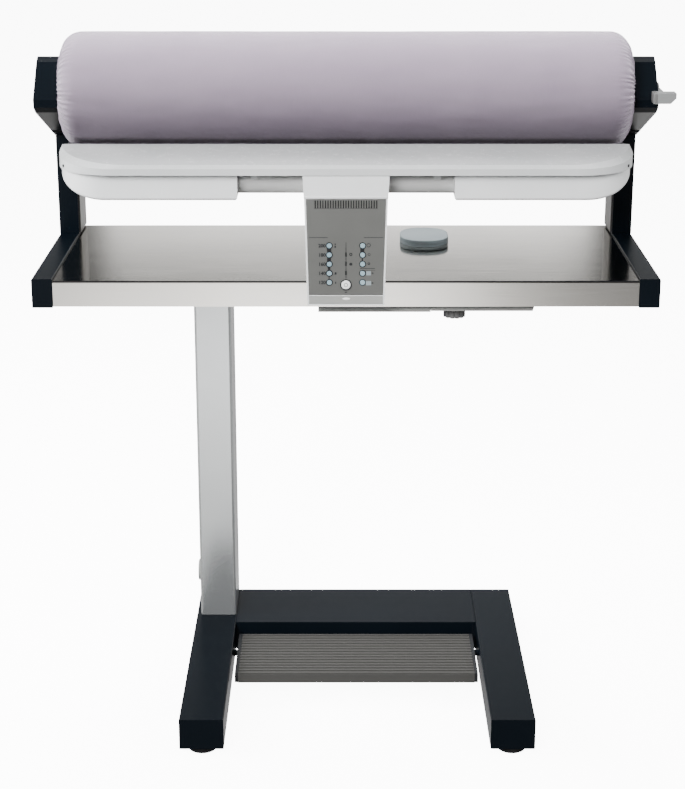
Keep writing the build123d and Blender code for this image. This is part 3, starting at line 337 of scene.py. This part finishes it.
plasticSizes = {  # "coat" is the clear gloss over the colour
    "black_plastic": {"dark": (0.010, 0.0105, 0.012), "light": (0.016, 0.017, 0.019), "rough": 0.42},
    "grey_plastic": {"dark": (0.20, 0.21, 0.205), "light": (0.25, 0.26, 0.255), "rough": 0.45},
    "white_enamel": {"dark": (0.70, 0.715, 0.72), "light": (0.74, 0.75, 0.755), "rough": 0.2,
                     "grain": 0.0012, "depth": 0.00001, "coat": 0.5},
    # the white enamel made darker: painted shade for the feed tray, which gets less light
    "shaded_tray_enamel": {"dark": (0.50, 0.515, 0.52), "light": (0.54, 0.55, 0.555), "rough": 0.2,
                    "grain": 0.0012, "depth": 0.00001, "coat": 0.5},
    "white_plastic": {"dark": (0.70, 0.71, 0.71), "light": (0.74, 0.75, 0.75), "rough": 0.33,
                      "grain": 0.0005, "depth": 0.00001, "coat": 0.15},
    "panel_grey": {"dark": (0.095, 0.096, 0.091), "light": (0.104, 0.105, 0.100), "rough": 0.42,
                   "grain": 0.0005},
    "button_white": {"dark": (0.80, 0.80, 0.79), "light": (0.84, 0.84, 0.83), "rough": 0.3,
                     "grain": 0.0006, "depth": 0.00001, "coat": 0.3},
    "key_pale_blue": {"dark": (0.20, 0.30, 0.35), "light": (0.27, 0.38, 0.43), "rough": 0.28,
                      "grain": 0.0006, "depth": 0.00001, "coat": 0.3},
    "tank_grey": {"dark": (0.28, 0.285, 0.275), "light": (0.32, 0.322, 0.31), "rough": 0.5},
    "lid_blue_grey": {"dark": (0.20, 0.24, 0.258), "light": (0.25, 0.29, 0.308), "rough": 0.42,
                      "grain": 0.0006, "depth": 0.00001, "coat": 0.1},
    "knob_grey": {"dark": (0.125, 0.125, 0.124), "light": (0.155, 0.155, 0.154), "rough": 0.45},
}


def mouldedPlastic(name, dark, light, rough, grain=0.0004, depth=0.00002, coat=0.0):
    finish = Finish(name, Coat_Roughness=0.12)
    spot = finish.place()
    drift = finish.cloud(spot, size=0.09, detail=2)
    pits = finish.cells(spot, grain)
    haze = finish.cloud(spot, size=0.015, detail=5, rough=0.65)
    finish.shade(
        Base_Color=finish.blend(finish.between(drift, 0.35, 0.65), dark, light),
        Roughness=rough + haze * 0.08 + pits * 0.04,
        Coat_Weight=coat + haze * 0.05 if coat else 0.0,
        Normal=finish.bump(pits + haze * 0.3, depth),
    )


rubberSizes = {
    "colour": (0.010, 0.010, 0.011), "dust": (0.06, 0.06, 0.058),
    "grain": 0.0006, "depth": 0.00005,
}


def rubber(name, sizes):
    finish = Finish(name, Specular_IOR_Level=0.25)
    spot = finish.place()
    dust = finish.between(finish.cloud(spot, size=0.008, detail=6, rough=0.7), 0.5, 0.8)
    pits = finish.cells(spot, sizes["grain"])
    finish.shade(
        Base_Color=finish.blend(dust * 0.35, sizes["colour"], sizes["dust"]),
        Roughness=0.72 + dust * 0.15,
        Normal=finish.bump(pits + dust * 0.5, sizes["depth"]),
    )


clothSizes = {
    "threads": 1500, "bandScale": 0.32, "distortion": 0.4,  # threads to the metre, one wave to each
    "dark": (0.190, 0.155, 0.200), "light": (0.215, 0.178, 0.222),
    "shade": (0.15, 0.12, 0.16), "slub": (0.26, 0.22, 0.27), "sheen": (0.97, 0.94, 1, 1),
    "weaveDepth": 0.00018, "creaseDepth": 0.0006,
}


def clothFinish(name, sizes):
    finish = Finish(name, Sheen_Weight=0.6, Sheen_Roughness=0.38, Sheen_Tint=sizes["sheen"],
                    Specular_IOR_Level=0.1)
    chart = finish.node("ShaderNodeUVMap", {"uv_map": "weaveMap"})
    waves = []
    for axis, stretch in (("X", (sizes["threads"], 0, 0)), ("Y", (0, sizes["threads"], 0))):
        spot = finish.node("ShaderNodeMapping", {}, {"Vector": chart, "Scale": stretch})
        inputs = {"Vector": spot, "Scale": sizes["bandScale"], "Distortion": sizes["distortion"]}
        waves.append(finish.node("ShaderNodeTexWave", {"bands_direction": axis}, inputs))
    warp, weft = waves
    weave = warp * weft + (1 - warp) * (1 - weft)
    slub = finish.cloud(finish.place((12, 1, 1)), size=0.012, detail=4, rough=0.6)
    drift = finish.cloud(finish.place(), size=0.09, detail=3)
    crease = finish.cloud(finish.place((0.35, 1, 1)), size=0.02, detail=4, rough=0.55)
    base = finish.blend(finish.between(drift, 0.3, 0.7), sizes["dark"], sizes["light"])
    thread = finish.blend(weave * 0.3, base, sizes["shade"])
    folds = finish.bump(crease, sizes["creaseDepth"])
    finish.shade(
        Base_Color=finish.blend(slub * 0.3, thread, sizes["slub"]),
        Roughness=0.78 + slub * 0.1,
        Normal=finish.bump(weave + slub * 0.8, sizes["weaveDepth"], strength=0.7, under=folds),
    )


feltSizes = {
    "dark": (0.62, 0.57, 0.48), "light": (0.85, 0.82, 0.75),
    "fibre": 0.002, "tuft": 0.003, "depth": 0.0006,
}


def feltFinish(name, sizes):
    finish = Finish(name, Specular_IOR_Level=0.15, Sheen_Weight=0.3)
    fibre = finish.cloud(finish.place((1, 3, 3)), size=sizes["fibre"], detail=6, rough=0.7)
    tuft = finish.cells(finish.place(), sizes["tuft"])
    finish.shade(
        Base_Color=finish.blend(fibre, sizes["dark"], sizes["light"]),
        Roughness=0.85 + tuft * 0.1,
        Normal=finish.bump(fibre + tuft * 0.5, sizes["depth"]),
    )


boardSizes = {"dark": (0.02, 0.13, 0.05), "light": (0.05, 0.25, 0.12), "tracks": 90.0, "depth": 0.00004}


def boardFinish(name, sizes):
    finish = Finish(name)
    upright = finish.place(turn=(math.radians(90), 0, 0))
    tracks = finish.node("ShaderNodeTexBrick", {}, {"Vector": upright, "Scale": sizes["tracks"]})
    speck = finish.cloud(finish.place(), size=0.0012, detail=3)
    finish.shade(
        Base_Color=finish.blend(tracks * 0.5, sizes["dark"], sizes["light"]),
        Roughness=0.35 + speck * 0.15,
        Normal=finish.bump(tracks + speck * 0.2, sizes["depth"]),
    )


def makeFinishes():
    for name, sizes in paintSizes.items():
        paintedMetal(name, **sizes)
    for name, sizes in metalSizes.items():
        brushedMetal(name, **sizes)
    for name, sizes in plasticSizes.items():
        mouldedPlastic(name, **sizes)
    rubber("black_rubber", rubberSizes)
    clothFinish("roller_cloth", clothSizes)
    feltFinish("padding_felt", feltSizes)
    boardFinish("circuit_board", boardSizes)


# the feed tray's finish is its slot's white enamel made darker, as painted shade
ownFinishes = {"post_covers": "dull_steel", "feed_tray": "shaded_tray_enamel"}  # a little darker than their slot


def dressNodes():
    for row in frame["record"]["subparts"]:
        node = nodes[row["node"]]
        material = finishes[ownFinishes.get(row["node"], row["material_slot"])]
        if not node.data.materials:
            node.data.materials.append(material)
        for index in range(len(node.data.materials)):
            node.data.materials[index] = material


# Tools for the pieces

def at(x, y, z):  # the part's own millimetres to the frame's metres
    return Vector((x / 1000 + originX, y / 1000 + originY, z / 1000))


def addPiece(name, mesh, body, slotName, smooth=None):  # smooth is the sharpest angle that is shaded round
    data = bpy.data.meshes.new(name)
    mesh.to_mesh(data)
    mesh.free()
    piece = bpy.data.objects.new(name, data)
    bpy.context.scene.collection.objects.link(piece)
    data.materials.append(finishes[slotName])
    if smooth is not None:
        for polygon in data.polygons:
            polygon.use_smooth = True
        data.set_sharp_from_angle(angle=math.radians(smooth))
    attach(piece, body)
    return piece


def addBar(mesh, low, high, bevel, steps=2):
    low, high = at(*low), at(*high)
    verts = bmesh.ops.create_cube(mesh, size=1)["verts"]
    bmesh.ops.scale(mesh, verts=verts, vec=high - low)
    bmesh.ops.translate(mesh, verts=verts, vec=(low + high) / 2)
    edges = list({edge for vert in verts for edge in vert.link_edges})
    bmesh.ops.bevel(mesh, geom=edges, offset=bevel / 1000, segments=steps, profile=0.5,
                    affect="EDGES", material=-1)


def turnProfile(mesh, line, place, toward, steps):  # line holds (radius, height) pairs
    before = set(mesh.verts)
    verts = [mesh.verts.new((radius / 1000, 0, height / 1000)) for radius, height in line]
    edges = [mesh.edges.new(pair) for pair in zip(verts, verts[1:])]
    bmesh.ops.spin(mesh, geom=verts + edges, cent=(0, 0, 0), axis=(0, 0, 1), angle=math.tau,
                   steps=steps, use_merge=True, use_duplicate=False)
    made = [vert for vert in mesh.verts if vert not in before]
    turned = Vector((0, 0, 1)).rotation_difference(Vector(toward)).to_matrix()
    bmesh.ops.rotate(mesh, verts=made, cent=(0, 0, 0), matrix=turned)
    bmesh.ops.translate(mesh, verts=made, vec=at(*place))


def closeMesh(mesh):
    bmesh.ops.remove_doubles(mesh, verts=mesh.verts, dist=1e-6)
    bmesh.ops.recalc_face_normals(mesh, faces=mesh.faces)
    return mesh


# Roller cloth: one spun form, gathered at both ends over a curled hem

rollerSizes = {
    "middle": (0, 135, 962.5), "halfLength": 425.4, "radius": 87.0,
    "cornerLength": 33.0, "cornerDrop": 36.0, "fullness": 2.1, "dish": 5.0,  # rounded shoulder, dished end
    "hemRadius": 31.0, "hemFold": 2.4,
    "hemCurl": ((1, 2), (0.3, 1.7), (0, 1), (0.3, 0.3), (1, 0)),  # outward and inward, in folds
    "turnSteps": 440, "endRings": 8, "cornerRings": 26, "straightRings": 30,
    "gatherLength": 22, "gatherBend": 3.5, "gatherRadius": 70,  # where the pleats set in
    "pleats": 62, "pleatDepth": 2.1, "pleatOut": 0.3, "pleatAlong": 0.75,
    "pleatLeast": 0.1, "pleatShare": 0.65, "pleatRange": 0.8, "pleatSwing": 6,  # how uneven they are
    "fineDepth": 0.5, "sunk": 0.3,
    "swingNoise": (3, 5.0), "depthNoise": (11, 2.0), "fineNoise": (24, 9, 0.05),  # scale, seed, along
    "softNoise": ((0.45, 7, 2.2), (0.3, 16, 5)),  # depth, scale along the roller, scale round it
    "creaseTurn": 179.0, "creaseSlant": 0.12, "creaseWidth": 1.6, "creaseDepth": 2.2,
}


def rollerProfile(sizes):
    half, radius, drop = sizes["halfLength"], sizes["radius"], sizes["cornerDrop"]
    hem, fold, dish = sizes["hemRadius"], sizes["hemFold"], sizes["dish"]
    straight = half - sizes["cornerLength"]
    bend = 2 / sizes["fullness"]
    line = [(hem + out * fold, half - dish - back * fold) for out, back in sizes["hemCurl"]]
    for step in range(1, sizes["endRings"]):
        share = step / sizes["endRings"]
        line.append((hem + fold + share * (radius - drop - hem - fold), half - dish * (1 - share) ** 2))
    for step in range(sizes["cornerRings"] + 1):
        turn = math.radians(90 * step / sizes["cornerRings"])
        rise, run = math.sin(turn) ** bend, max(math.cos(turn), 0.0) ** bend
        line.append((radius - drop + drop * rise, straight + sizes["cornerLength"] * run))
    for step in range(1, sizes["straightRings"]):
        line.append((radius, straight * math.cos(math.radians(90 * step / sizes["straightRings"]))))
    return line + [(r, 0 if x == 0 else -x) for r, x in reversed(line)]


def ringNoise(angle, scale, height):  # closes on itself round the roller
    return noise.noise(Vector((math.cos(angle) * scale, math.sin(angle) * scale, height)))


def gatherCloth(mesh, sizes):
    x0, y0, z0 = at(*sizes["middle"])
    half, reach, depth = sizes["halfLength"], sizes["gatherLength"], sizes["pleatDepth"]
    straight = half - sizes["cornerLength"]
    swingScale, swingSeed = sizes["swingNoise"]
    depthScale, depthSeed = sizes["depthNoise"]
    fineScale, fineSeed, fineAlong = sizes["fineNoise"]
    for vert in mesh.verts:
        across = Vector((0, vert.co.y - y0, vert.co.z - z0))
        angle = math.atan2(across.z, across.y)
        side = 1 if vert.co.x > x0 else -1
        along = abs(vert.co.x - x0) * 1000
        end = min(1.0, max(0.0, (along - straight + reach) / (half - straight + reach)))
        gather = end ** sizes["gatherBend"] * min(1.0, across.length * 1000 / sizes["gatherRadius"])
        swing = sizes["pleatSwing"] * ringNoise(angle, swingScale, side * swingSeed)
        pleat = math.cos(sizes["pleats"] * angle + swing)
        strength = sizes["pleatShare"] + sizes["pleatRange"] * ringNoise(angle, depthScale, side * depthSeed)
        strength = max(strength, sizes["pleatLeast"])
        fine = ringNoise(angle, fineScale, along * fineAlong + side * fineSeed)
        drawn = gather * (depth * strength * pleat + sizes["fineDepth"] * fine)
        soft = 0.0
        for swell, lengthScale, scale in sizes["softNoise"]:
            spot = Vector((vert.co.x * lengthScale, math.cos(angle) * scale, math.sin(angle) * scale))
            soft += swell * noise.noise(spot)
        if side < 0:  # one crease on the left end
            slant = sizes["creaseSlant"] * (half - along)
            away = (math.degrees(angle) % 360 - sizes["creaseTurn"] - slant) / sizes["creaseWidth"]
            drawn -= sizes["creaseDepth"] * math.exp(-away * away) * end ** 2
        outward = across.normalized() * (soft + sizes["pleatOut"] * drawn - sizes["sunk"]) / 1000
        endward = side * (drawn - depth * gather) * sizes["pleatAlong"] / 1000
        vert.co += outward + Vector((endward, 0, 0))


def mapWeave(mesh, sizes):  # a chart in metres, along the roller and round it
    x0, y0, z0 = at(*sizes["middle"])
    radius = sizes["radius"]
    chart = mesh.loops.layers.uv.new("weaveMap")
    for face in mesh.faces:
        middle = face.calc_center_median()
        centreAngle = math.atan2(middle.z - z0, middle.y - y0)
        for loop in face.loops:
            spot = loop.vert.co
            angle = math.atan2(spot.z - z0, spot.y - y0)
            angle += math.tau * round((centreAngle - angle) / math.tau)
            inward = radius / 1000 - math.hypot(spot.y - y0, spot.z - z0)
            loop[chart].uv = (spot.x + math.copysign(inward, spot.x - x0), angle * radius / 1000)


def makeRollerCover(sizes):
    mesh = bmesh.new()
    turnProfile(mesh, rollerProfile(sizes), sizes["middle"], (1, 0, 0), sizes["turnSteps"])
    closeMesh(mesh)
    gatherCloth(mesh, sizes)
    mapWeave(mesh, sizes)
    cover = addPiece("rollerCloth", mesh, "roller", "roller_cloth", smooth=80)
    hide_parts("roller_cover")


drawstringSizes = {
    "middle": (0, 135, 962.5), "reach": 417.6, "radius": 34.0, "thickness": 1.5,
    "ringSteps": 12, "turnSteps": 210, "strands": 70, "strandTwist": 2, "strandDepth": 0.25,
}


def makeDrawstrings(sizes):
    mesh = bmesh.new()
    x0, y0, z0 = sizes["middle"]
    line = []
    for step in range(sizes["ringSteps"] + 1):
        turn = math.tau * step / sizes["ringSteps"]
        out, along = math.cos(turn), math.sin(turn)
        line.append((sizes["radius"] + sizes["thickness"] * out, sizes["thickness"] * along))
    for side in (-1, 1):
        turnProfile(mesh, line, (side * sizes["reach"], y0, z0), (side, 0, 0), sizes["turnSteps"])
    closeMesh(mesh)
    for vert in mesh.verts:  # laid strands
        spot = vert.co - at(x0, y0, z0)
        angle = math.atan2(spot.z, spot.y)
        across = Vector((0, spot.y, spot.z)).normalized()
        side = 1 if spot.x > 0 else -1
        core = Vector((side * sizes["reach"] / 1000, 0, 0)) + across * sizes["radius"] / 1000
        ring = spot - core
        lay = math.atan2(ring.x, ring.dot(across))
        lift = math.cos(sizes["strands"] * angle + sizes["strandTwist"] * lay)
        vert.co += ring.normalized() * (sizes["strandDepth"] / 1000) * lift
    addPiece("hemDrawstrings", mesh, "roller", "roller_cloth", smooth=60)


# Control panel: a black sheet as painted shade behind the vent slots, printed marks, rings, numbers and lamp

panelSizes = {
    "face": -31.0, "proud": 0.12, "sunk": 0.1, "bevel": 0.05,
    # the black sheet behind the vent slots is painted shade for the dark inside of the console
    "shadeSheet": ((-47.0, -27.8, 814.6), (47.0, -27.0, 832.6)), "shadeSheetBevel": 0.2,
    "blocks": (  # middle, then width and height
        (-39.8, 776.1, 27.6, 0.7), (39.8, 776.1, 27.6, 0.7),
        (31.1, 729.9, 21.4, 0.8), (31.1, 726.9, 21.4, 0.4),
        (-24.4, 757.2, 6.2, 5.6), (-24.4, 743.4, 5.6, 5.4), (-24.4, 729.8, 3.6, 5.4),
        (-24.4, 715.8, 1.4, 5.6), (23.6, 757.2, 5.8, 5.4), (23.6, 743.6, 2.0, 5.4),
        (0.0, 742.0, 0.9, 54.0), (0.0, 750.8, 2.4, 6.2), (0.0, 737.1, 2.5, 6.6),
        (0.0, 723.2, 2.4, 6.2), (0.0, 694.4, 3.6, 1.4), (-15.5, 766.0, 1.6, 2.2),
        (-15.5, 762.4, 2.0, 3.0), (-15.0, 722.6, 2.6, 3.4), (-15.0, 708.6, 1.6, 3.0),
    ),
    "patches": ((32.6, 722.8, 6.6, 6.2), (32.6, 707.9, 7.6, 6.2)),
    "icons": (  # middle, then outer and inner radius
        (7.0, 751.0, 2.3, 1.0), (7.0, 736.4, 2.2, 0.0), (32.6, 764.6, 2.9, 2.1), (33.4, 750.8, 2.0, 1.3),
        (33.0, 737.2, 1.9, 0.9), (38.4, 722.8, 1.3, 0.6), (38.4, 708.2, 1.3, 0.6),
    ),
    "labels": (("200", 764.2), ("180", 750.4), ("160", 736.6), ("140", 722.9), ("120", 709.2)),
    "labelRight": -29.2, "labelHeight": 5.2, "letterShare": 1.35,  # a letter's size for its height
    "labelDepth": 0.08, "labelWeight": 0.22, "labelProud": 0.05,
    "keyRing": (3.7, 5.0), "keyRingProud": 0.3, "keys": (-24.0, 24.0),
    "keyTop": 764.0, "keyPitch": 13.75, "keyCount": 5,
    "buttonPlace": (0.0, 705.6), "buttonRing": (6.75, 8.35), "buttonRingProud": 0.5, "ringFace": -31.6,
    "buttonFace": -32.8, "buttonMark": (2.0, 3.1),
    "lampPlace": (0.4, -31.3, 684.4), "lampSpread": (5.6, 1.9), "lampProud": 0.5,
    "lampDome": ((0, 1), (0.6, 0.93), (0.9, 0.6), (1, 0), (0, 0)),
    "turnSteps": 40,
}


def addRing(mesh, sizes, x, y, z, inner, outer, proud):  # with a chamfer, and a disc if inner is 0
    slope, shoulder = proud * 0.3, proud * 0.7
    line = [(outer - slope, proud), (outer, shoulder), (outer, 0)]
    if inner:
        line = [(inner, 0), (inner, shoulder), (inner + slope, proud), *line, (inner, 0)]
    else:
        line = [(0, proud), *line, (0, 0)]
    turnProfile(mesh, line, (x, y, z), (0, -1, 0), sizes["turnSteps"])


def addMark(mesh, sizes, x, z, width, height):
    low = (x - width / 2, sizes["face"] - sizes["proud"], z - height / 2)
    high = (x + width / 2, sizes["face"] + sizes["sunk"], z + height / 2)
    addBar(mesh, low, high, sizes["bevel"], steps=1)


def addNumber(sizes, text, z):
    data = bpy.data.curves.new("keyNumber", "FONT")
    data.body = text
    data.size = sizes["labelHeight"] / 1000 * sizes["letterShare"]
    data.extrude = sizes["labelDepth"] / 1000
    data.offset = sizes["labelWeight"] / 1000
    data.align_x = "RIGHT"
    letters = bpy.data.objects.new("keyNumber", data)
    bpy.context.scene.collection.objects.link(letters)
    bpy.context.view_layer.update()
    shaped = letters.evaluated_get(bpy.context.evaluated_depsgraph_get())
    mesh = bmesh.new()
    mesh.from_mesh(bpy.data.meshes.new_from_object(shaped))
    bpy.data.objects.remove(letters)
    corner = at(sizes["labelRight"], sizes["face"] - sizes["labelProud"], z - sizes["labelHeight"] / 2)
    bmesh.ops.rotate(mesh, verts=mesh.verts, cent=(0, 0, 0), matrix=Matrix.Rotation(math.radians(90), 3, "X"))
    bmesh.ops.translate(mesh, verts=mesh.verts, vec=corner)
    addPiece("keyNumber" + text, closeMesh(mesh), "base", "black_plastic")


def makePanelMarks(sizes):
    face, proud = sizes["face"], sizes["proud"]
    mesh = bmesh.new()
    # a black sheet behind the vent slots: painted shade for the dark inside
    addBar(mesh, *sizes["shadeSheet"], sizes["shadeSheetBevel"])
    addPiece("ventShadeSheet", mesh, "base", "black_rubber")

    mesh = bmesh.new()
    for block in sizes["blocks"]:
        addMark(mesh, sizes, *block)
    for x, z, outer, inner in sizes["icons"]:
        addRing(mesh, sizes, x, face, z, inner, outer, proud)
    for x in sizes["keys"]:
        for number in range(sizes["keyCount"]):
            z = sizes["keyTop"] - number * sizes["keyPitch"]
            addRing(mesh, sizes, x, face, z, *sizes["keyRing"], sizes["keyRingProud"])
    x, z = sizes["buttonPlace"]
    addRing(mesh, sizes, x, sizes["ringFace"], z, *sizes["buttonRing"], sizes["buttonRingProud"])
    addPiece("panelPrint", closeMesh(mesh), "base", "black_plastic")

    mesh = bmesh.new()
    for patch in sizes["patches"]:
        addMark(mesh, sizes, *patch)
    addPiece("panelPatches", closeMesh(mesh), "base", "lid_blue_grey")

    mesh = bmesh.new()
    addRing(mesh, sizes, x, sizes["buttonFace"], z, *sizes["buttonMark"], proud)
    addPiece("buttonMark", closeMesh(mesh), "on_button", "grey_plastic")

    mesh = bmesh.new()
    across, height = sizes["lampSpread"]
    dome = [(radius, rise * sizes["lampProud"]) for radius, rise in sizes["lampDome"]]
    turnProfile(mesh, dome, (0, 0, 0), (0, -1, 0), sizes["turnSteps"])
    home = at(0, 0, 0)
    for vert in mesh.verts:  # drawn out to an oval
        move = vert.co - home
        vert.co = at(*sizes["lampPlace"]) + Vector((move.x * across, move.y, move.z * height))
    addPiece("panelLamp", closeMesh(mesh), "base", "button_white", smooth=60)

    for text, z in sizes["labels"]:
        addNumber(sizes, text, z)


# Trim: the panel's sill and its line, the console head's lip, and black strips along the table's front,
# painted shade for the gap there

trimSizes = {
    "panelSill": {"slot": "tank_grey", "bevel": 0.3,
                  "bars": (((-53.6, -31.35, 677.0), (53.6, -30.6, 688.3)),)},
    "panelLine": {"slot": "white_plastic", "bevel": 0.2,
                  "bars": (((-53.8, -31.5, 688.7), (53.8, -30.6, 689.7)),)},
    "consoleLip": {"slot": "white_enamel", "bevel": 0.6, "steps": 3, "smooth": 60,
                   "bars": (((-60.0, -31.9, 833.6), (60.0, -30.4, 836.8)),)},
    # black strips along the table's front: painted shade for the gap there
    "tableGaps": {"slot": "black_rubber", "bevel": 0.2,
                  "bars": (((-430.0, 0.5, 700.9), (-57.6, 1.8, 702.1)),
                           ((57.6, 0.5, 700.9), (430.0, 1.8, 702.1)))},
}


def makeTrim(name, sizes):
    mesh = bmesh.new()
    for low, high in sizes["bars"]:
        addBar(mesh, low, high, sizes["bevel"], sizes.get("steps", 2))
    addPiece(name, closeMesh(mesh), "base", sizes["slot"], smooth=sizes.get("smooth"))


# Heads: a rubber seal across each sloping underside

sealSizes = {
    "across": (427.2, 461.8), "depth": (230.0, 243.0), "proud": 0.7, "sunk": 0.8, "bevel": 0.25,
    "chin": (103.0, 933.5), "rear": (265.0, 868.0),  # the underside's line
}


def makeHeadSeals(sizes):
    mesh = bmesh.new()
    (y1, z1), (y2, z2) = sizes["chin"], sizes["rear"]
    slope = (z2 - z1) / (y2 - y1)
    start, stop = sizes["depth"]
    for side in (-1, 1):
        left, right = sorted(side * x for x in sizes["across"])
        addBar(mesh, (left, start, -sizes["proud"]), (right, stop, sizes["sunk"]), sizes["bevel"])
    for vert in mesh.verts:
        y = (vert.co.y - originY) * 1000
        vert.co.z += (z1 + (y - y1) * slope) / 1000
    addPiece("headSeals", closeMesh(mesh), "base", "black_rubber")


# Fasteners: pan heads with a round socket

screwSizes = {
    "small": {"radius": 3.4, "height": 1.6, "socket": 1.5},
    "flush": {"radius": 3.8, "height": 0.1, "socket": 1.6},
    "large": {"radius": 6.0, "height": 3.2, "socket": 3.0},
    "inside": ((0, 0.25), (0.95, 0.25), (1, 0.92), (1.12, 1)),  # shares of the socket and the height
    "outside": ((0.72, 1), (0.93, 0.78), (1, 0.45)),  # shares of the radius and the height
    "sunk": 0.1, "turnSteps": 24,
    "heads": ((140.0, 990.0), (236.0, 945.0), (146.0, 928.0), (312.0, 890.0)), "sideFace": 462.0,
    "rails": ((290.0, 683.0), (325.0, 683.0), (20.0, 683.0)),
    "rearPosts": ((446.5, 887.0), (446.5, 790.0)), "rearFace": 340.0,
    "rearTable": (-400.0, -300.0, -130.0, 60.0, 220.0, 400.0), "rearTableHeight": 681.0,
    "columnRear": ((-230.0, 90.0), (-197.0, 90.0), (-230.0, 620.0), (-197.0, 620.0)), "columnFace": 300.0,
    "legBolts": (-100.0, 190.0, 285.0), "legFaces": (-250.0, 284.0), "legHeight": 34.0,
}


def addScrew(mesh, sizes, kind, place, toward):
    radius, height, socket = (sizes[kind][key] for key in ("radius", "height", "socket"))
    line = [(socket * share, height * rise) for share, rise in sizes["inside"]]
    line += [(radius * share, height * rise) for share, rise in sizes["outside"]]
    line += [(radius, -sizes["sunk"]), (0, -sizes["sunk"])]
    turnProfile(mesh, line, place, toward, sizes["turnSteps"])


def makeScrews(sizes):
    mesh = bmesh.new()
    for side in (-1, 1):
        for y, z in sizes["heads"] + sizes["rails"]:
            addScrew(mesh, sizes, "flush", (side * sizes["sideFace"], y, z), (side, 0, 0))
        for x, z in sizes["rearPosts"]:
            addScrew(mesh, sizes, "flush", (side * x, sizes["rearFace"], z), (0, 1, 0))
    addPiece("headScrews", closeMesh(mesh), "base", "dark_screw", smooth=40)

    mesh = bmesh.new()
    for x in sizes["rearTable"]:
        addScrew(mesh, sizes, "flush", (x, sizes["rearFace"], sizes["rearTableHeight"]), (0, 1, 0))
    for x, z in sizes["columnRear"]:
        addScrew(mesh, sizes, "small", (x, sizes["columnFace"], z), (0, 1, 0))
    addPiece("tableScrews", closeMesh(mesh), "base", "turned_steel", smooth=40)

    mesh = bmesh.new()
    for side, x in zip((-1, 1), sizes["legFaces"]):
        for y in sizes["legBolts"]:
            addScrew(mesh, sizes, "large", (x, y, sizes["legHeight"]), (side, 0, 0))
    addPiece("baseBolts", closeMesh(mesh), "base", "dark_screw", smooth=40)


# Hand lever: its moulded end cap

leverSizes = {"low": (449.2, 63.2, 952.2), "high": (457.0, 84.8, 969.3), "bevel": 3.5, "steps": 4}


def makeLeverTip(sizes):
    mesh = bmesh.new()
    addBar(mesh, sizes["low"], sizes["high"], sizes["bevel"], sizes["steps"])
    addPiece("leverTip", closeMesh(mesh), "release_lever", "knob_grey", smooth=60)


# Floor and backdrop

stageSizes = {
    "reach": 13.0, "height": 9.0, "steps": 96, "glow": 10.0, "rough": 0.75, "mottle": 0.6,
    "dark": (0.86, 0.86, 0.86), "light": (0.9, 0.9, 0.9),
}


def makeStage(sizes):
    finish = Finish("paleFloor", Specular_IOR_Level=0.1, Emission_Color=(1, 1, 1),
                    Emission_Strength=sizes["glow"])
    mottle = finish.cloud(finish.place(), size=sizes["mottle"], detail=3)
    finish.shade(
        Base_Color=finish.blend(mottle * 0.3, sizes["dark"], sizes["light"]),
        Roughness=sizes["rough"] + mottle * 0.1,
    )
    mesh = bmesh.new()
    bmesh.ops.create_circle(mesh, cap_ends=True, segments=sizes["steps"], radius=sizes["reach"])
    wall = bmesh.ops.extrude_edge_only(mesh, edges=list(mesh.edges))["geom"]
    top = [item for item in wall if isinstance(item, bmesh.types.BMVert)]
    bmesh.ops.translate(mesh, verts=top, vec=(0, 0, sizes["height"]))
    data = bpy.data.meshes.new("studioFloor")
    mesh.to_mesh(data)
    mesh.free()
    floor = bpy.data.objects.new("studioFloor", data)
    bpy.context.scene.collection.objects.link(floor)
    data.materials.append(finish.material)
    floor.visible_diffuse = False  # the light comes from the world and the lamps, not from the floor
    floor.visible_glossy = False
    floor.visible_shadow = False


makeCamera(cameraSizes)
makeWorld(worldSizes)
makeStage(stageSizes)
print("camera, world and floor ready")

makeFinishes()
dressNodes()
print("finishes ready:", len(finishes))

makeRollerCover(rollerSizes)
makeDrawstrings(drawstringSizes)
print("roller cloth ready")

makePanelMarks(panelSizes)
for name, sizes in trimSizes.items():
    makeTrim(name, sizes)
makeHeadSeals(sealSizes)
makeScrews(screwSizes)
makeLeverTip(leverSizes)
print("panel, heads and fasteners ready")

for name, sizes in lampSizes.items():  # last, because three of them light one piece alone
    makeLamp(name, sizes)
print("lamps ready")
